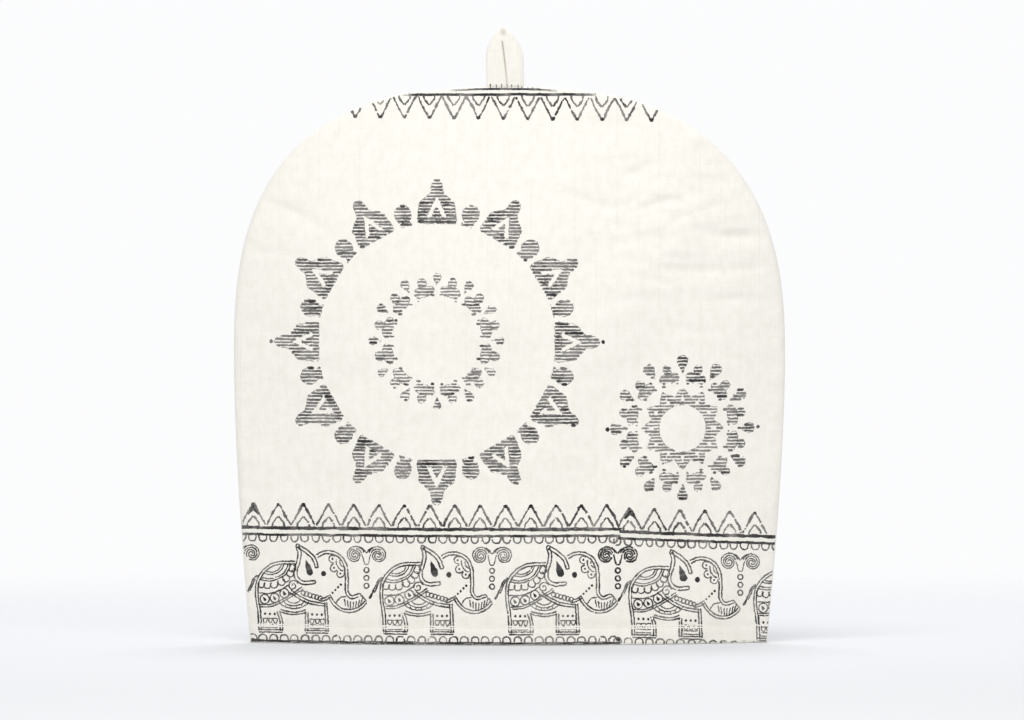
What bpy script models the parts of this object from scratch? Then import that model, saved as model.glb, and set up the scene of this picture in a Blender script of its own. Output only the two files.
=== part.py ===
"""Tea cosy of lightly padded cotton, standing open on its hem.

Two dome-shaped panels are seamed up both sides and over the top, and a folded strip of the same cloth
stands in the top seam as the hanging loop. Metres, +Z up. The front face looks towards -Y, and the origin
lies on the surface that the hem rests on, under the middle of the cosy.
"""

from collections import namedtuple

import bmesh
import bpy
import numpy as np

# The outline of a panel, seen face on. It is widest at about half its height, tapers a little to the hem,
# and closes over the top in a flattened dome.
WIDTH = 0.3306
HEIGHT = 0.3336
WIDEST_HEIGHT = 0.1695
LEFT_DOME_POWER = 2.73
RIGHT_DOME_POWER = 2.60
LEFT_HEM_TAPER = 0.0098
RIGHT_HEM_TAPER = 0.0108
TAPER_POWER = 1.6

# How far the cloth of each panel stands out from the seam plane, and how it is made up
HEM_DEPTH = 0.0480
WIDEST_DEPTH = 0.0455
EDGE_ROLL_HEIGHT = 0.0026
EDGE_ROLL_WIDTH = 0.0040
WALL = 0.0055
SEAM_WIDTH = 0.0070
SEAM_GAP = 0.0003
HEM_ROUND = 0.0018
HEM_ROUND_SHARE = 0.32
UNDULATION_EDGE = 0.030

# The hanging loop, a strip folded so that its two legs lie side by side
LOOP_WIDTH = 0.0222
LOOP_HEIGHT = 0.0354
LOOP_STRAIGHT = 0.0160
LOOP_THICKNESS = 0.0030
LOOP_OFFSET = -0.0024
LOOP_LEAN = -0.0015
LOOP_SEAT = 0.0003
LOOP_ROUND = 0.0006
SLIT_HEIGHT = 0.0170
SLIT_WIDTH = 0.0012
SLIT_TOP_WIDTH = 0.0004
SLIT_LEAN = -0.0020

# How finely the surfaces are divided. The right half of the dome carries most of the creases.
SKIRT_STEPS = 12
LEFT_DOME_STEPS = 24
RIGHT_DOME_STEPS = 38
HEM_STEPS = 26
# Distances in millimetres that each ring of points is drawn in from the outline
FRONT_RINGS = (0, 0.45, 1.8, 4, 9, 16, 24, 32, 40, 48, 56, 65, 75, 87, 103, 122, 142, 158)
BACK_RINGS = (0, 0.45, 1.8, 4, 11, 22, 35, 50, 67, 87, 110, 132, 152)
INNER_RINGS = (0, 1.8, 10, 28, 55, 85, 120, 148)
ARC_SAMPLES = 400
LOOP_STEPS = 12
CREASE_SAMPLES = 25

# The loop's edges are rounded, its tip is drawn in by two powers, and smooth shading stops at sharp edges
LOOP_TIP_POWERS = (2.0, 0.8)
CREASE_END_POWER = 0.6
SHARP_ANGLE = np.radians(50)
ROUNDED_ANGLE = np.radians(60)

CLOTH_COLOUR = (0.90, 0.87, 0.80, 1.0)
CLOTH_ROUGHNESS = 0.9

# A soft trough in the cloth: it runs from start past middle to end, each (across, up)
Crease = namedtuple("Crease", "start middle end depth width")
FRONT_CREASES = (
    Crease((0.0345, 0.2705), (0.0615, 0.2610), (0.0790, 0.2705), 0.0013, 0.0040),
    Crease((0.0680, 0.2785), (0.0800, 0.2850), (0.0920, 0.2885), 0.0010, 0.0038),
    Crease((0.0705, 0.2560), (0.0890, 0.2640), (0.1080, 0.2635), 0.0011, 0.0038),
    Crease((0.1050, 0.2790), (0.1200, 0.2780), (0.1350, 0.2775), 0.0013, 0.0038),
    Crease((0.1080, 0.2460), (0.1300, 0.2440), (0.1540, 0.2445), 0.0014, 0.0040),
    Crease((0.0830, 0.2265), (0.1100, 0.2235), (0.1400, 0.2230), 0.0012, 0.0042),
    Crease((-0.1500, 0.2655), (-0.1320, 0.2590), (-0.1130, 0.2485), 0.0010, 0.0042),
)
BACK_CREASES = (
    Crease((-0.1350, 0.2600), (-0.1150, 0.2640), (-0.0950, 0.2620), 0.0010, 0.0050),
    Crease((0.1000, 0.2350), (0.1200, 0.2300), (0.1420, 0.2310), 0.0010, 0.0050),
)

# The slow unevenness of padded cloth: each wave has its length across and up, its phase and its height
Wave = namedtuple("Wave", "across up phase height")
FRONT_WAVES = (
    Wave(0.150, 0.210, 0.6, 0.0007),
    Wave(-0.095, 0.120, 2.1, 0.0005),
    Wave(0.070, -0.160, 4.0, 0.0004),
)
BACK_WAVES = (
    Wave(0.170, -0.190, 1.4, 0.0007),
    Wave(-0.110, 0.140, 3.3, 0.0005),
)

# A panel and the sign of the side of the seam plane that it bulges to
Panel = namedtuple("Panel", "name side rings creases waves")
PANELS = (
    Panel("front_panel", -1, FRONT_RINGS, FRONT_CREASES, FRONT_WAVES),
    Panel("back_panel", 1, BACK_RINGS, BACK_CREASES, BACK_WAVES),
)


def clear_scene():
    for obj in list(bpy.data.objects):
        bpy.data.objects.remove(obj, do_unlink=True)


def half_width(up, left, inset=0.0):
    """Half the width of the skirt at a height: the widest half, less a taper that grows towards the hem."""
    fall = np.clip(1 - up / WIDEST_HEIGHT, 0, 1) ** TAPER_POWER
    return WIDTH / 2 - inset - np.where(left, LEFT_HEM_TAPER, RIGHT_HEM_TAPER) * fall


def gauge(across, up, inset=0.0):
    """0 on the middle line and 1 on the seam: superellipses in the dome, shares of the width in the skirt."""
    left = across < 0
    power = np.where(left, LEFT_DOME_POWER, RIGHT_DOME_POWER)
    sideways = np.abs(across) / half_width(up, left, inset)
    upwards = np.clip(up - WIDEST_HEIGHT, 0, None) / (HEIGHT - WIDEST_HEIGHT - inset)
    return (sideways**power + upwards**power) ** (1 / power)


def crease_depth(across, up, creases):
    """How far the troughs draw the cloth in: a bell-shaped section carried along each crease."""
    total = np.zeros_like(across)
    share = np.linspace(0, 1, CREASE_SAMPLES)
    ends = np.clip(np.sin(np.pi * share), 0, 1) ** CREASE_END_POWER
    for crease in creases:
        start, middle, end = (np.array(point)[:, None] for point in crease[:3])
        path = start * (1 - share) ** 2 + end * share**2 + (4 * middle - start - end) * share * (1 - share)
        apart = np.hypot(across[..., None] - path[0], up[..., None] - path[1])
        trough = (ends * np.exp(-((apart / crease.width) ** 2))).max(axis=-1)
        total = np.maximum(total, crease.depth * trough)
    return total


def unevenness(across, up, waves):
    total = np.zeros_like(across)
    for wave in waves:
        turns = across / wave.across + up / wave.up
        total += wave.height * np.sin(2 * np.pi * turns + wave.phase)
    return total


def hem_rounding(up, local_wall):
    """How far the turned hem draws each face in, a quarter circle that ends in the flat underside."""
    radius = np.minimum(HEM_ROUND, HEM_ROUND_SHARE * local_wall)
    rise = np.clip(up / HEM_ROUND, 0, 1)
    return radius * (1 - np.sqrt(1 - (1 - rise) ** 2))


def bulge(up):
    """How far the middle of a panel stands out at a height, before the fall towards the seam."""
    share = np.clip(up / WIDEST_HEIGHT, 0, 1)
    return HEM_DEPTH + (WIDEST_DEPTH - HEM_DEPTH) * share * share * (3 - 2 * share)


def outer_distance(across, up, panel):
    """Distance of the outer cloth from the seam plane: a parabola, with a round roll at the seam."""
    level = gauge(across, up)
    from_edge = np.clip((1 - level) * WIDTH / 2, 0, None)
    roll = 1 - np.clip(from_edge / EDGE_ROLL_WIDTH, 0, 1)
    crown = bulge(up) * np.clip(1 - level**2, 0, None)
    calm = np.clip(from_edge / UNDULATION_EDGE, 0, 1) * np.clip(up / UNDULATION_EDGE, 0, 1)
    dents = crease_depth(across, up, panel.creases) * np.clip(from_edge / EDGE_ROLL_WIDTH, 0, 1)
    relief = unevenness(across, up, panel.waves) * calm - dents
    return SEAM_GAP / 2 + EDGE_ROLL_HEIGHT * np.sqrt(1 - roll**2) + crown + relief


def inner_distance(across, up):
    """Distance of the inner cloth from the seam plane: the same parabola, a wall in and a seam narrower."""
    level = gauge(across, up, SEAM_WIDTH)
    crown = bulge(up) + EDGE_ROLL_HEIGHT - WALL
    return SEAM_GAP / 2 + crown * np.clip(1 - level**2, 0, None)


def dome_arc(left, inset):
    """The quarter of the dome outline from the widest line up to the top, as a fine chain of points."""
    power = LEFT_DOME_POWER if left else RIGHT_DOME_POWER
    turn = np.linspace(0, np.pi / 2, ARC_SAMPLES)
    across = (WIDTH / 2 - inset) * np.cos(turn) ** (2 / power)
    up = (HEIGHT - WIDEST_HEIGHT - inset) * np.sin(turn) ** (2 / power)
    return np.stack([-across if left else across, up + WIDEST_HEIGHT], axis=1)


def spaced(chain, steps):
    """The chain again in equal steps of length, without its last point."""
    length = np.concatenate([[0], np.cumsum(np.linalg.norm(np.diff(chain, axis=0), axis=1))])
    at = np.linspace(0, length[-1], steps + 1)[:-1]
    return np.stack([np.interp(at, length, chain[:, 0]), np.interp(at, length, chain[:, 1])], axis=1)


def skirt_side(left, inset):
    up = np.linspace(0, WIDEST_HEIGHT, ARC_SAMPLES)
    across = half_width(up, left, inset)
    return np.stack([-across if left else across, up], axis=1)


def outline(inset, share):
    """The closed outline of a panel from its left hem corner over the top and back along the hem.

    share thins the steps out, for the inner face.
    """
    left_corner = skirt_side(True, inset)[0]
    right_corner = skirt_side(False, inset)[0]
    stretches = (
        (skirt_side(True, inset), SKIRT_STEPS),
        (dome_arc(True, inset), LEFT_DOME_STEPS),
        (dome_arc(False, inset)[::-1], RIGHT_DOME_STEPS),
        (skirt_side(False, inset)[::-1], SKIRT_STEPS),
        (np.stack([right_corner, left_corner]), HEM_STEPS),
    )
    return np.concatenate([spaced(chain, steps // share) for chain, steps in stretches])


def rings_of(edge, distances_mm):
    """The outline drawn in towards the middle of the widest line, a ring for each distance."""
    centre = np.array([0.0, WIDEST_HEIGHT])
    inwards = np.array(distances_mm) / 1000 / WIDEST_HEIGHT
    return centre + (1 - inwards)[:, None, None] * (edge - centre)


def ring_faces(rings, around, first):
    """Quads between neighbouring rings, and a fan to the middle point that follows the last ring."""
    faces = []
    for ring in range(rings - 1):
        a = first + ring * around
        b = a + around
        faces += [(a + i, a + (i + 1) % around, b + (i + 1) % around, b + i) for i in range(around)]
    last = first + (rings - 1) * around
    middle = first + rings * around
    faces += [(last + i, last + (i + 1) % around, middle) for i in range(around)]
    return faces


def face_points(rings, distance):
    """Ring points and the middle point, each (across, distance from the seam plane, up)."""
    flat = np.concatenate([rings.reshape(-1, 2), [[0.0, WIDEST_HEIGHT]]])
    return np.stack([flat[:, 0], distance(flat[:, 0], flat[:, 1]), flat[:, 1]], axis=1)


def mesh_object(name, points, faces, colour):
    mesh = bpy.data.meshes.new(name)
    mesh.from_pydata([tuple(point) for point in points], [], faces)
    shape = bmesh.new()
    shape.from_mesh(mesh)
    bmesh.ops.recalc_face_normals(shape, faces=shape.faces)
    shape.to_mesh(mesh)
    shape.free()
    mesh.shade_smooth()
    mesh.set_sharp_from_angle(angle=SHARP_ANGLE)
    mesh.materials.append(cloth_material(name, colour))
    obj = bpy.data.objects.new(name, mesh)
    bpy.context.scene.collection.objects.link(obj)
    return obj


def cloth_material(name, colour):
    material = bpy.data.materials.new(name + "_cloth")
    material.use_nodes = True
    shader = material.node_tree.nodes["Principled BSDF"]
    shader.inputs["Base Color"].default_value = colour
    shader.inputs["Roughness"].default_value = CLOTH_ROUGHNESS
    return material


def build_panel(panel):
    """One panel: outer and inner face, the flat strip at the seam, and the underside of the hem."""
    outer_edge = outline(0.0, 1)
    inner_edge = outline(SEAM_WIDTH, 2)

    def outer(across, up):
        whole = outer_distance(across, up, panel)
        wall = whole - inner_distance(across, up)
        return whole - hem_rounding(up, wall)

    def inner(across, up):
        whole = inner_distance(across, up)
        wall = outer_distance(across, up, panel) - whole
        drawn_in = hem_rounding(up, wall) * (gauge(across, up, SEAM_WIDTH) < 1 - 1e-6)
        return whole + drawn_in

    outer_points = face_points(rings_of(outer_edge, panel.rings), outer)
    inner_points = face_points(rings_of(inner_edge, INNER_RINGS), inner)
    first = len(outer_points)
    around = len(inner_edge)
    faces = ring_faces(len(panel.rings), 2 * around, 0)
    faces += [face[::-1] for face in ring_faces(len(INNER_RINGS), around, first)]
    for i in range(around):
        a, b, c = 2 * i, 2 * i + 1, (2 * i + 2) % (2 * around)
        d, e = first + i, first + (i + 1) % around
        faces += [(a, d, b), (b, d, e), (b, e, c)]
    points = np.concatenate([outer_points, inner_points])
    points[:, 1] *= panel.side
    return mesh_object(panel.name, points, faces, CLOTH_COLOUR)


def loop_side(left):
    """One side of the loop's outline, base to tip: straight, then drawn in to the point."""
    rise = np.linspace(0, 1, LOOP_STEPS + 1)
    half = LOOP_WIDTH / 2 * (1 - rise ** LOOP_TIP_POWERS[0]) ** LOOP_TIP_POWERS[1]
    up = LOOP_STRAIGHT + (LOOP_HEIGHT - LOOP_STRAIGHT) * rise
    lean = LOOP_LEAN * (up / LOOP_HEIGHT) ** 2
    side = np.stack([(-half if left else half) + lean, up], axis=1)
    base = [[-LOOP_WIDTH / 2 if left else LOOP_WIDTH / 2, 0.0]]
    return np.concatenate([base, side])


def build_loop():
    """The loop's flat outline with its slit, given its thickness and rounded edges."""
    slit = np.array(
        [
            [SLIT_WIDTH / 2, 0.0],
            [SLIT_LEAN + SLIT_TOP_WIDTH / 2, SLIT_HEIGHT],
            [SLIT_LEAN - SLIT_TOP_WIDTH / 2, SLIT_HEIGHT],
            [-SLIT_WIDTH / 2, 0.0],
        ]
    )
    flat = np.concatenate([loop_side(True), loop_side(False)[-2::-1], slit])
    count = len(flat)
    across = flat[:, 0] + LOOP_OFFSET
    up = flat[:, 1] + HEIGHT + LOOP_SEAT
    half = np.full(count, LOOP_THICKNESS / 2)
    near = np.stack([across, -half, up], axis=1)
    far = np.stack([across, half, up], axis=1)
    faces = [tuple(range(count)), tuple(range(2 * count - 1, count - 1, -1))]
    faces += [(i, i + count, (i + 1) % count + count, (i + 1) % count) for i in range(count)]
    loop = mesh_object("hanging_loop", np.concatenate([near, far]), faces, CLOTH_COLOUR)
    rounding = loop.modifiers.new("Rounded edges", "BEVEL")
    rounding.width = LOOP_ROUND
    rounding.segments = 2
    rounding.limit_method = "ANGLE"
    rounding.angle_limit = ROUNDED_ANGLE
    return loop


def main():
    clear_scene()
    for panel in PANELS:
        build_panel(panel)
    build_loop()


main()
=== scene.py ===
"""Padded cotton tea cosy with a charcoal block print, standing on its hem, with its stitches and studio."""

import math
from collections import namedtuple

import bmesh
import bpy
import numpy as np
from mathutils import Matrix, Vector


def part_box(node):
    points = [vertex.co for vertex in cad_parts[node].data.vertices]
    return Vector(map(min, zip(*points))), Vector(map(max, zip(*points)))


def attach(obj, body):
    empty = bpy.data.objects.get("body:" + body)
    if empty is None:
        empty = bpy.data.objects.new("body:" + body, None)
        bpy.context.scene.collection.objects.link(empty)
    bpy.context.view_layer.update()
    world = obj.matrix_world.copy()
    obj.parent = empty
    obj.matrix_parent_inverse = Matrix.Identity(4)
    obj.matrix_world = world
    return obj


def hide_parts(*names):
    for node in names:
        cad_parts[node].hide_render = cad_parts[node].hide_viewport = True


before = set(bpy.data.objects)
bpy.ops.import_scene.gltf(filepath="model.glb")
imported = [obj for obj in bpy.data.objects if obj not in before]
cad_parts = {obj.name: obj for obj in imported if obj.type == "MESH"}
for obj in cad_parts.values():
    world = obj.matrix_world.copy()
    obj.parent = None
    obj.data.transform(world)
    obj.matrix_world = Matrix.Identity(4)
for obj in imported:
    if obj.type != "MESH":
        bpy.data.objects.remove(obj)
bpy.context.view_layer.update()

bl_info = {
    "name": "Padded tea cosy",
    "version": (1, 0, 0),
    "blender": (4, 5, 0),
    "location": "View3D > Sidebar > Tea cosy",
    "description": "Builds a block-printed, padded tea cosy and its studio",
    "category": "Add Mesh",
}

FRONT_LOW, FRONT_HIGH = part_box("front_panel")
LOOP_LOW, LOOP_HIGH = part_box("hanging_loop")
MM = 0.001
FRONT, BACK = -1, 1

# The hanging loop's measures and the middle of its base, in millimetres
LOOP_WIDTH, LOOP_THICK, LOOP_HEIGHT = ((high - low) / MM for low, high in zip(LOOP_LOW, LOOP_HIGH))
LOOP_ACROSS = (LOOP_LOW[0] + LOOP_HIGH[0]) / 2 / MM

# How finely each surface is divided: steps along each stretch of the outline, and rings drawn in from it
SKIRT_STEPS = 117
LEFT_DOME_STEPS = 162
RIGHT_DOME_STEPS = 180
HEM_STEPS = 168
INNER_THINNING = 3
EDGE_RINGS_MM = (0, 0.06, 0.22, 0.5, 0.9, 1.4, 2.0, 2.7, 3.5, 4.4, 5.5)
FACE_RINGS = 96
INNER_RINGS_MM = (0, 0.3, 0.9, 1.8, 4, 8, 14, 22, 32, 44, 58, 74, 92, 110, 128, 146, 158)
INNERMOST_RING = 0.985
ARC_SAMPLES = 600
CREASE_SAMPLES = 41
NOISE_TABLE = 64
LOOP_COLUMNS, LOOP_ROWS = 80, 120
FLOOR_SPOKES, FLOOR_RINGS = 96, 24

# A soft trough or, with a negative depth, a ridge: it runs from start past middle to end, in millimetres
Crease = namedtuple("Crease", "start middle end depth width")
FRONT_CREASES = [Crease(*row) for row in (
    ((34.5, 270.5), (61.5, 261.0), (79, 270.5), 1.95, 3.4),
    ((68, 278.5), (80, 285), (92, 288.5), 1.5, 3.2),
    ((70.5, 256), (89, 264), (108, 263.5), 1.65, 3.2),
    ((105, 279), (120, 278), (135, 277.5), 1.95, 3.2),
    ((108, 246), (130, 244), (154, 244.5), 2.1, 3.4),
    ((83, 226.5), (110, 223.5), (140, 223), 1.8, 3.6),
    ((-150, 265.5), (-132, 259), (-113, 248.5), 1.5, 3.6),
    ((82, 272.5), (92, 278.5), (101, 274.5), 1.05, 2.2),
    ((111, 259.5), (120, 261), (129.5, 264.5), 1.05, 2.2),
    ((80, 219.5), (89, 217), (98, 215.5), 0.9, 2.6),
    ((45, 295.5), (54, 296.5), (63.5, 295.5), 0.9, 2.4),
    ((108, 275), (117, 272.5), (127, 268), -0.75, 2.2),
    ((118, 205), (136, 206.5), (152, 204), 0.75, 2.8),
    ((96, 190), (112, 186.5), (128, 188), 0.6, 3.0),
    ((128, 293), (134, 287), (137, 280), 0.75, 2.4),
    ((20, 283), (38, 285), (54, 283.5), 0.6, 2.6),
    ((-152, 236), (-140, 233), (-126, 234), 0.6, 2.8),
    ((38, 311), (62, 309.5), (92, 304), 2.25, 6.0),
    ((93, 249), (102, 254), (110, 258), 1.2, 2.6),
    ((76, 243), (82, 238), (90, 235), 1.05, 2.6),
    ((80, 300), (92, 301), (104, 299), 0.9, 3.0),
    ((132, 226), (143, 224), (154, 226), 0.9, 2.6),
    ((50, 258), (62, 251), (74, 250), 0.75, 3.0),
    ((62, 232), (74, 228), (86, 230), 0.6, 3.0),
)]
BACK_CREASES = [Crease(*row) for row in (
    ((-135, 260), (-115, 264), (-95, 262), 1.0, 3.8),
    ((100, 235), (120, 230), (142, 231), 1.0, 3.8),
    ((-148, 214), (-132, 212), (-116, 214), 0.5, 3.0),
    ((60, 292), (78, 295), (96, 292), 0.5, 2.8),
)]

# The slow unevenness of padded cloth: length across and up, phase and height, in metres
Wave = namedtuple("Wave", "across up phase height")
FRONT_WAVES = (
    Wave(0.150, 0.210, 0.6, 0.0007),
    Wave(-0.095, 0.120, 2.1, 0.0005),
    Wave(0.070, -0.160, 4.0, 0.0004),
)
BACK_WAVES = (
    Wave(0.170, -0.190, 1.4, 0.0007),
    Wave(-0.110, 0.140, 3.3, 0.0005),
)

# Small unevenness: its cells' size across and up, its height, and whether it keeps to the gathered corner
Crumple = namedtuple("Crumple", "across up height corner seed")
CRUMPLES = (
    Crumple(24, 16, 0.40, False, 3),
    Crumple(9, 7, 0.20, False, 5),
    Crumple(26, 7.5, 1.35, True, 7),
    Crumple(12, 4.2, 0.6, True, 11),
)
CORNER_CENTRE = (98, 263)
CORNER_REACH = (70, 54)

# Puckers along the seam: their length along it and reach away from it, share and seed
Pucker = namedtuple("Pucker", "along away share seed")
PUCKERS = (Pucker(7, 60, 1.0, 21), Pucker(3.4, 40, 0.6, 22))

# How relief starts and fades, in millimetres: slow waves at the edges, dents above the hem, puckers off the
# seam, the trough of the stitches, and the place and the step of the turned-up hem's top
SLOW_FADE = 30
HEM_FADE = 8
PUCKER_START = 2
STITCH_TROUGH = 1.8
FOLD_BELOW = 2.2
FOLD_STEP = 1.4

# How late a crease fades at its ends, how many widths it reaches, the most of the wall that the hem's round
# takes from each face, and how near the gauge comes to 1 on the seam
CREASE_END_POWER = 0.6
CREASE_REACH = 3
ROUNDED_SHARE = 0.32
ON_SEAM = 1e-6

# Shifts in millimetres that give each noise a stretch of the lattice to itself
RELIEF_SHIFT = (300, 50)
INK_SHIFT = (400, 100)
SEAM_SHIFT = 900
LOOP_SHIFT = 200

# The hanging loop in millimetres: its round shoulders, how far it leans, its slit's foot, lean and top, where
# the slit starts to close and over what height, how far down the tip's fold lies, its half width and height,
# and how far the loop's foot reaches down into the seam
LOOP_SHOULDERS = 19.4
LOOP_LEAN = 1.5
SLIT_FOOT = 1.1
SLIT_LEAN = 2.1
SLIT_TOP = 27
SLIT_CLOSE = 25.5
SLIT_CLOSING = 3.0
TIP_FOLD = 3.9
TIP_FOLD_HALF = (1.4, 2.0)
LOOP_TUCK = 0.6

# A hem stitch: steps along and round it, then in millimetres the row's margin at the sides, how unevenly the
# stitches lie and how far they sink in, and its rise as a share of the thread's width
STITCH_STEPS = (6, 5)
STITCH_MARGIN = 5
STITCH_SHIFT = 0.08
STITCH_SUNK = 0.05
STITCH_RISE = 0.55

# The block print in millimetres: steps along a stroke, its lift off the cloth, how its edges and path stray,
# the hatching's pitch and widths, the finest line, and the bare margins at the seam and the hem
INK_STEP = 0.42
INK_LIFT = 0.055
RAGGED = 0.06
WANDER = 0.07
HATCH_PITCH = 1.9
HATCH_WIDTH = 1.36
CONTOUR_WIDTH = 0.36
CONTOUR_LEAST = 3.0
FINE_LINE = 0.84
PRINT_MARGIN = 0.25
HEM_MARGIN = 0.2

# Points across a filled spot, degrees to a step of an arc, and millimetres between a level line's knots
BLOT_STEPS = 9
DEGREES_A_STEP = 9
KNOT_SPACING = 6

# Ink: the share of its width that a stroke starts with and what it gains, how many points apart its path and
# its width stray, by what share the width does, the half width in millimetres from which edges are ragged,
# where gaps start and how many more a dry stroke has, the cells and seed of its gaps, its finer gaps and its
# slow change of tone, the share of the finer gaps, and the tone's middle and its swings
END_WIDTH, END_GAIN = 0.45, 0.55
PATH_RUN, WIDTH_RUN = 3, 5
SWELL = 0.15
RAGGED_FROM = 0.05
DRY_START, DRY_GAIN = -1.75, 1.35
GAPS = (1.7, 1.3, 41)
FINE_GAPS = (0.8, 0.7, 42)
TONE = (7.5, 5.5, 43)
FINE_SHARE = 0.7
TONE_MIDDLE, TONE_SWING, GAP_SWING = 0.82, 0.28, 0.10

# One line of ink: its width may change along it, and a dry one is rougher, with more gaps
Stroke = namedtuple("Stroke", "path width weight dryness")


def smoothstep(value):
    """0 up to 0 and 1 from 1, with 3 v squared less 2 v cubed between them."""
    value = np.clip(value, 0, 1)
    return value * value * (3 - 2 * value)


def pairs(across, up):
    """Points across and up, with the two along the last axis."""
    return np.stack([across, up], axis=-1)


def cell_noise(across, up, cell_across, cell_up, seed):
    """Smooth noise from -1 to 1: random values on a lattice, blended across each cell by a smooth step."""
    table = np.random.default_rng(seed).uniform(-1, 1, (NOISE_TABLE, NOISE_TABLE))
    u, v = across / cell_across, up / cell_up
    i, j = np.floor(u).astype(int), np.floor(v).astype(int)
    s, t = smoothstep(u - i), smoothstep(v - j)

    def corner(di, dj):
        return table[(i + di) % NOISE_TABLE, (j + dj) % NOISE_TABLE]

    low = corner(0, 0) * (1 - s) + corner(1, 0) * s
    high = corner(0, 1) * (1 - s) + corner(1, 1) * s
    return low * (1 - t) + high * t


def run_noise(count, spacing, rng):
    """Smooth noise along a run of points: random values every few points, joined by straight blends."""
    knots = rng.uniform(-1, 1, count // spacing + 3)
    return np.interp(np.arange(count) / spacing, np.arange(len(knots)), knots)


def half_width(up, left, shape, inset=0.0):
    """Half the width of the skirt at a height: the widest half, less a taper that grows towards the hem."""
    fall = np.clip(1 - up / shape.widest_height, 0, 1) ** shape.taper_power
    return shape.width / 2 - inset - np.where(left, shape.left_taper, shape.right_taper) * fall


def gauge(across, up, shape, inset=0.0):
    """0 on the middle line and 1 on the seam: superellipses in the dome, shares of the width in the skirt."""
    left = across < 0
    power = np.where(left, shape.left_power, shape.right_power)
    from_middle = np.abs(across) / half_width(up, left, shape, inset)
    over = np.clip(up - shape.widest_height, 0, None) / (shape.height - shape.widest_height - inset)
    return (from_middle**power + over**power) ** (1 / power)


def bulge(up, shape):
    """How far the middle of a panel stands out at a height, before the fall towards the seam."""
    share = smoothstep(up / shape.widest_height)
    return shape.hem_depth + (shape.widest_depth - shape.hem_depth) * share


def crease_relief(across, up, creases):
    """Troughs and ridges: a bell-shaped section carried along each crease, fading at both ends."""
    share = np.linspace(0, 1, CREASE_SAMPLES)
    ends = np.clip(np.sin(np.pi * share), 0, 1) ** CREASE_END_POWER
    relief = np.zeros_like(across)
    for crease in creases:
        start, middle, end = (np.array(point)[:, None] * MM for point in crease[:3])
        path = start * (1 - share) ** 2 + end * share**2 + (4 * middle - start - end) * share * (1 - share)
        reach = CREASE_REACH * crease.width * MM
        near = (across > path[0].min() - reach) & (across < path[0].max() + reach)
        near &= (up > path[1].min() - reach) & (up < path[1].max() + reach)
        apart = np.hypot(across[near, None] - path[0], up[near, None] - path[1])
        section = (ends * np.exp(-((apart / (crease.width * MM)) ** 2))).max(axis=-1)
        relief[near] -= crease.depth * MM * section
    return relief


def crumple_relief(across, up, side):
    """Small random dents all over, and stronger flat ones in the gathered corner of the front."""
    x, z = across / MM, up / MM
    spread = ((x - CORNER_CENTRE[0]) / CORNER_REACH[0]) ** 2 + ((z - CORNER_CENTRE[1]) / CORNER_REACH[1]) ** 2
    corner = np.exp(-spread) if side == FRONT else np.zeros_like(x)
    relief = np.zeros_like(x)
    for crumple in CRUMPLES:
        at = (x + RELIEF_SHIFT[0], z + RELIEF_SHIFT[1])
        noise = cell_noise(*at, crumple.across, crumple.up, crumple.seed + side)
        relief += crumple.height * MM * noise * (corner if crumple.corner else 1)
    return relief


def seam_relief(across, up, from_edge, shape):
    """Puckers that die out away from the seam, the trough of the stitches, and the hem's step below it."""
    along = np.arctan2(up - shape.widest_height, across) * shape.width / 2 / MM + SEAM_SHIFT
    away = from_edge / MM
    pucker = sum(one.share * cell_noise(along, away, one.along, one.away, one.seed) for one in PUCKERS)
    fade = np.exp(-((from_edge / shape.pucker_reach) ** 2)) * smoothstep(from_edge / (PUCKER_START * MM))
    stitching = np.exp(-(((up - shape.stitch_height) / (STITCH_TROUGH * MM)) ** 2))
    turned_up = 1 - smoothstep((up - shape.stitch_height + FOLD_BELOW * MM) / (FOLD_STEP * MM))
    return shape.pucker_height * pucker * fade - shape.stitch_dent * stitching + shape.hem_fold * turned_up


def outer_distance(across, up, shape, side):
    """The outer cloth's distance from the seam plane: a parabola in the gauge, and a round roll."""
    level = gauge(across, up, shape)
    from_edge = np.clip((1 - level) * shape.width / 2, 0, None)
    off_seam = np.clip(from_edge / shape.roll_width, 0, 1)
    roll = shape.seam_gap / 2 + shape.roll_height * np.sqrt(1 - (1 - off_seam) ** 2)
    crown = bulge(up, shape) * np.clip(1 - level**2, 0, None)
    away = np.clip(from_edge / (SLOW_FADE * MM), 0, 1) * np.clip(up / (SLOW_FADE * MM), 0, 1)
    slow = np.zeros_like(across)
    for wave in FRONT_WAVES if side == FRONT else BACK_WAVES:
        slow += wave.height * np.sin(2 * np.pi * (across / wave.across + up / wave.up) + wave.phase)
    small = crease_relief(across, up, FRONT_CREASES if side == FRONT else BACK_CREASES)
    small += crumple_relief(across, up, side) * np.clip(up / (HEM_FADE * MM), 0, 1)
    small += seam_relief(across, up, from_edge, shape)
    return roll + crown + slow * away + small * off_seam


def inner_distance(across, up, shape):
    """The inner cloth's distance from the seam plane: the same parabola, a wall in and a seam narrower."""
    level = gauge(across, up, shape, shape.seam_width)
    crown = bulge(up, shape) + shape.roll_height - shape.wall
    return shape.seam_gap / 2 + crown * np.clip(1 - level**2, 0, None)


def hem_rounding(up, wall, shape):
    """How far the turned hem draws each face in: a quarter circle that ends in the flat underside."""
    radius = np.minimum(shape.hem_round, ROUNDED_SHARE * wall)
    rise = np.clip(up / shape.hem_round, 0, 1)
    return radius * (1 - np.sqrt(1 - (1 - rise) ** 2))


def finished_outer(across, up, shape, side):
    """The outer distance, drawn in at the hem."""
    whole = outer_distance(across, up, shape, side)
    return whole - hem_rounding(up, whole - inner_distance(across, up, shape), shape)


def finished_inner(across, up, shape, side):
    """The inner distance, pushed out at the hem, but not at the edge that the seam holds."""
    whole = inner_distance(across, up, shape)
    wall = outer_distance(across, up, shape, side) - whole
    inside = gauge(across, up, shape, shape.seam_width) < 1 - ON_SEAM
    return whole + hem_rounding(up, wall, shape) * inside


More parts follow.
